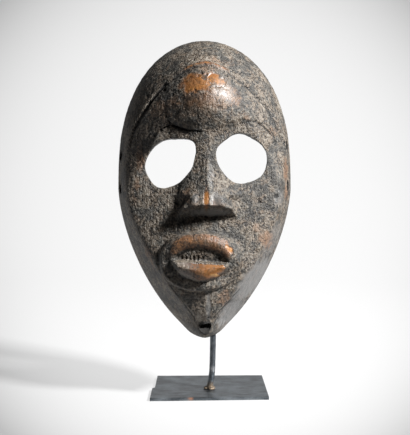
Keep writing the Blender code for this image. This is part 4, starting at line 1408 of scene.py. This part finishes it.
def rod_route():
    """Points up the middle of the rod: straight runs with each bend rounded."""
    lean = math.atan2(ROD_KINK[0] - ROD_FOOT[0], ROD_KINK[2] - PLATE_THICKNESS)
    foot = (ROD_FOOT[0], ROD_FOOT[1], PLATE_THICKNESS + GAP + ROD_RADIUS * math.sin(lean))
    corners = [foot, ROD_KINK, ROD_CHIN, ROD_EYES, ROD_NECK, ROD_TIP]
    route = [np.array(foot)]
    for before, corner, after, bend in zip(corners, corners[1:], corners[2:], ROD_BENDS):
        before, corner, after = np.array(before), np.array(corner), np.array(after)
        enter = corner + bend * (before - corner) / np.linalg.norm(before - corner)
        leave = corner + bend * (after - corner) / np.linalg.norm(after - corner)
        for step in range(ROD_STEPS + 1):
            t = step / ROD_STEPS
            route.append((1 - t) ** 2 * enter + 2 * t * (1 - t) * corner + t * t * leave)
    route.append(np.array(ROD_TIP))
    return route


def ring_places(route, count):
    """Evenly spaced points along a route, with the direction at each."""
    route = np.array(route)
    gaps = np.linalg.norm(np.diff(route, axis=0), axis=1)
    along = np.concatenate([[0.0], np.cumsum(gaps)])
    marks = np.linspace(0.0, along[-1], count)
    spots = np.stack([np.interp(marks, along, route[:, axis]) for axis in range(3)], axis=1)
    runs = np.gradient(spots, axis=0)
    return spots, runs / np.linalg.norm(runs, axis=1)[:, None]


deselect_all()
bpy.ops.mesh.primitive_circle_add(vertices=ROD_ROUND, radius=1.0, fill_type="NGON")
rod = named("bent_rod")
bpy.ops.object.mode_set(mode="EDIT")
bpy.ops.mesh.select_all(action="SELECT")
for step in range(ROD_RINGS - 1):
    bpy.ops.mesh.extrude_region_move(TRANSFORM_OT_translate={"value": (0.0, 0.0, 1.0)})
bpy.ops.mesh.select_all(action="SELECT")
bpy.ops.mesh.normals_make_consistent(inside=False)
bpy.ops.object.mode_set(mode="OBJECT")
straight = points_of(rod)
spots, runs = ring_places(rod_route(), ROD_RINGS)
ring = np.rint(straight[:, 2]).astype(int)
side = np.cross(runs, (0.0, 1.0, 0.0))
side = side / np.linalg.norm(side, axis=1)[:, None]
front = np.cross(runs, side)
radius = ROD_RADIUS - 0.00008
move_points(rod, spots[ring] + radius * (straight[:, 0:1] * side[ring] + straight[:, 1:2] * front[ring]))
bpy.ops.object.mode_set(mode="EDIT")
bpy.ops.mesh.select_all(action="SELECT")
bpy.ops.mesh.normals_make_consistent(inside=False)
bpy.ops.object.mode_set(mode="OBJECT")
rod_length = float(np.sum(np.linalg.norm(np.diff(spots, axis=0), axis=1)))
print("rod", ROD_RINGS, "rings over", round(rod_length / MM), "mm")

# %% [markdown]
# The weld is a run of overlapping blobs round the foot. Each is a ball, squashed and set beside
# the last. Rod and blobs are joined and remeshed into one skin, as the molten steel did, and the
# skin is then pitted.

# %% The weld
BEAD_COUNT = 9
BEAD_RADII = (0.0019, 0.0024)
PITS = ((0.0011, 0.05), (0.0032, 0.06))
SKIN_STEP = 0.00036

beads = []
for number in range(BEAD_COUNT):
    angle = WELD_START + math.radians(250.0) * number / (BEAD_COUNT - 1)
    radius = BEAD_RADII[number % 2]
    spot = (ROD_FOOT[0] + WELD_SPREAD * math.cos(angle),
            ROD_FOOT[1] + WELD_SPREAD * math.sin(angle), PLATE_THICKNESS + GAP)
    deselect_all()
    bpy.ops.mesh.primitive_ico_sphere_add(subdivisions=3, radius=radius, location=spot)
    bead = named("bead")
    bead.scale = (1.0, 1.0, 0.85)
    settle()
    places = points_of(bead)
    places[:, 2] = np.maximum(places[:, 2], PLATE_THICKNESS + GAP)
    move_points(bead, places)
    beads.append(bead)
deselect_all()
for piece in (*beads, rod):
    piece.select_set(True)
bpy.context.view_layer.objects.active = rod
bpy.ops.object.join()
skinned = rod.modifiers.new("skin", "REMESH")
skinned.mode = "VOXEL"
skinned.voxel_size = SKIN_STEP
bpy.ops.object.modifier_apply(modifier=skinned.name)
soften = rod.modifiers.new("soften", "SMOOTH")
soften.factor = 0.5
soften.iterations = 3
bpy.ops.object.modifier_apply(modifier=soften.name)
places = points_of(rod)
pits = sum(depth * MM * lumps(places, size, seed) for seed, (size, depth) in enumerate(PITS, start=81))
move_points(rod, places + normals_of(rod) * pits[:, None])
bpy.ops.object.shade_smooth()
print("rod and weld", len(rod.data.polygons), "faces")

# %% [markdown]
# The rod is the same blackened steel, with a painted highlight at the kink: a spot of brighter
# metal on the side that faces the key light. The weld has gone brown with flux and a little rust.

# %% Blackened rod
KINK_PAINTED_HIGHLIGHT = (0.0034, -0.0118, 0.0190)
WELD_TOP = 0.0098


def blackened_rod_with_painted_highlight():
    """Dark round bar with a painted highlight at the kink, brown at the weld."""
    steel = Palette("blackened_rod_with_painted_highlight", metallic=1.0)
    scale = steel.noise(0.0030, 4.0, 0.65)
    grit = steel.noise(0.0008, 2.0, 0.6)
    tone = (scale * 0.7 + grit * 0.3).above(0.38, 0.62)
    colour = steel.mixed(tone, (0.055, 0.062, 0.070), (0.155, 0.170, 0.185))
    # Painted highlight: a brighter spot at the kink.
    away = steel.distance(KINK_PAINTED_HIGHLIGHT)
    bright = 1.0 - (away + (grit - 0.5) * 0.003).above(0.0012, 0.0030)
    colour = steel.mixed(bright * 0.8, colour, (0.420, 0.430, 0.440))
    split = steel.node("ShaderNodeSeparateXYZ", {}, {0: steel.place}, "Z")
    low = 1.0 - (split + (scale - 0.5) * 0.008).above(0.6 * WELD_TOP, WELD_TOP)
    colour = steel.mixed(low * (grit.above(0.35, 0.55) * 0.5 + 0.4), colour, (0.150, 0.105, 0.062))
    roughness = 0.44 + (scale - 0.5) * 0.3 + low * 0.15 - bright * 0.15
    return steel.finish(colour, roughness, steel.bump(grit + scale, 0.0003, 0.6), Metallic=1.0 - low * 0.55)


rod.data.materials.clear()
rod.data.materials.append(blackened_rod_with_painted_highlight())
print("rod dressed:", round(pressed_into_box(rod, "rod") / MM, 2), "mm pressed back")
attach(rod, "root")
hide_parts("rod")

# %% [markdown]
# ## The light
# One crisp key light stands high on the right, which throws the nose's shadow down to the left
# and leaves the left of the face in shade. The room gives back only a weak, even fill, or the
# shadows would wash out. The white paper has a painted glow: it glows by itself though it is no
# lamp, so that it stays white behind the dark wood, and its glow lights the undersides and the
# sides of the mask, as light bounced from a real sheet does. A weak lamp low on the left stands in
# for the paper past the edge of the picture. A photographer keeps light off the front with black
# card; here the sheet in front simply lights nothing.

# %% The lights
KEY_AIM = (0.0, -0.03, 0.15)
KEY_TURN = math.radians(58.0)
KEY_RISE = math.radians(36.0)
KEY_DISTANCE = 1.5
KEY_SIZE = 0.20
KEY_POWER = 80.0
SIDE_TURN = math.radians(-103.0)
SIDE_RISE = math.radians(-12.0)
SIDE_DISTANCE = 0.45
SIDE_SIZE = 0.12
SIDE_POWER = 0.24
ROOM_FILL = 0.012
ROOM_SEEN = 0.80


def area_light(name, turn, rise, distance, size, power):
    """A square lamp that looks at the mask from a turn to the right and a height."""
    lamp = bpy.data.lights.new(name, "AREA")
    lamp.shape = "SQUARE"
    lamp.size = size
    lamp.energy = power
    away = Vector((math.sin(turn) * math.cos(rise), -math.cos(turn) * math.cos(rise), math.sin(rise)))
    light = bpy.data.objects.new(name, lamp)
    light.location = Vector(KEY_AIM) + away * distance
    light.rotation_euler = away.to_track_quat("Z", "Y").to_euler()
    bpy.context.scene.collection.objects.link(light)
    return light


key = area_light("key", KEY_TURN, KEY_RISE, KEY_DISTANCE, KEY_SIZE, KEY_POWER)
area_light("side", SIDE_TURN, SIDE_RISE, SIDE_DISTANCE, SIDE_SIZE, SIDE_POWER)
room = bpy.data.worlds.new("room")
bpy.context.scene.world = room
room.use_nodes = True
air = room.node_tree.nodes["Background"]
air.inputs["Color"].default_value = (1.0, 1.0, 1.0, 1.0)
rays = room.node_tree.nodes.new("ShaderNodeLightPath")
strength = room.node_tree.nodes.new("ShaderNodeMapRange")
strength.inputs["To Min"].default_value = ROOM_FILL
strength.inputs["To Max"].default_value = ROOM_SEEN
room.node_tree.links.new(rays.outputs["Is Camera Ray"], strength.inputs["Value"])
room.node_tree.links.new(strength.outputs["Result"], air.inputs["Strength"])
bpy.context.scene.view_settings.view_transform = "Standard"

# %% [markdown]
# The paper's painted glow fades from a bright middle to darker edges, a painted pool of light. The
# fade is written in the paper's own places: across it, and up or back from the foot of the mask,
# wider with distance as a lamp's pool of light is.

# %% The paper
GLOW = 0.76
GLOW_LEAST = 0.28
GLOW_MIDDLE = 0.185
GLOW_SPREAD = 0.716
GLOW_FADE = 8.3
GLOW_POWER = 2.3
PAPER_WHITE = 0.14


def paper_with_painted_glow():
    """Matt white paper with a painted glow, a painted pool of light brightest behind the mask."""
    paper = Palette("paper_with_painted_glow")
    across, back, up = [paper.node("ShaderNodeSeparateXYZ", {}, {0: paper.place}, axis) for axis in "XYZ"]
    spread = back + GLOW_SPREAD
    side = across / spread
    rise = (up - GLOW_MIDDLE) / spread + 0.055
    edge = (side * side + rise * rise) * GLOW_FADE
    fade = (1.0 - edge ** GLOW_POWER).clipped()
    glow = paper.mixed(fade, (GLOW_LEAST,) * 3, (1.0, 1.0, 1.0))
    paper.surface.inputs["Emission Strength"].default_value = GLOW
    return paper.finish((PAPER_WHITE,) * 3, 0.9, **{"Emission Color": glow})


paper = paper_with_painted_glow()
sweep.data.materials.append(paper)
table.data.materials.append(paper)
table.visible_diffuse = False
table.visible_glossy = False
print("key light at", [round(value, 2) for value in key.location])

# %% [markdown]
# ## Measuring up
# The dressed model is meant to fill the same box as the measured solids; a box can be turned into plain lists
# of numbers.

# %% The two boxes


def plain(box):
    """A box as plain lists of numbers."""
    return [[float(value) for value in corner] for corner in box]
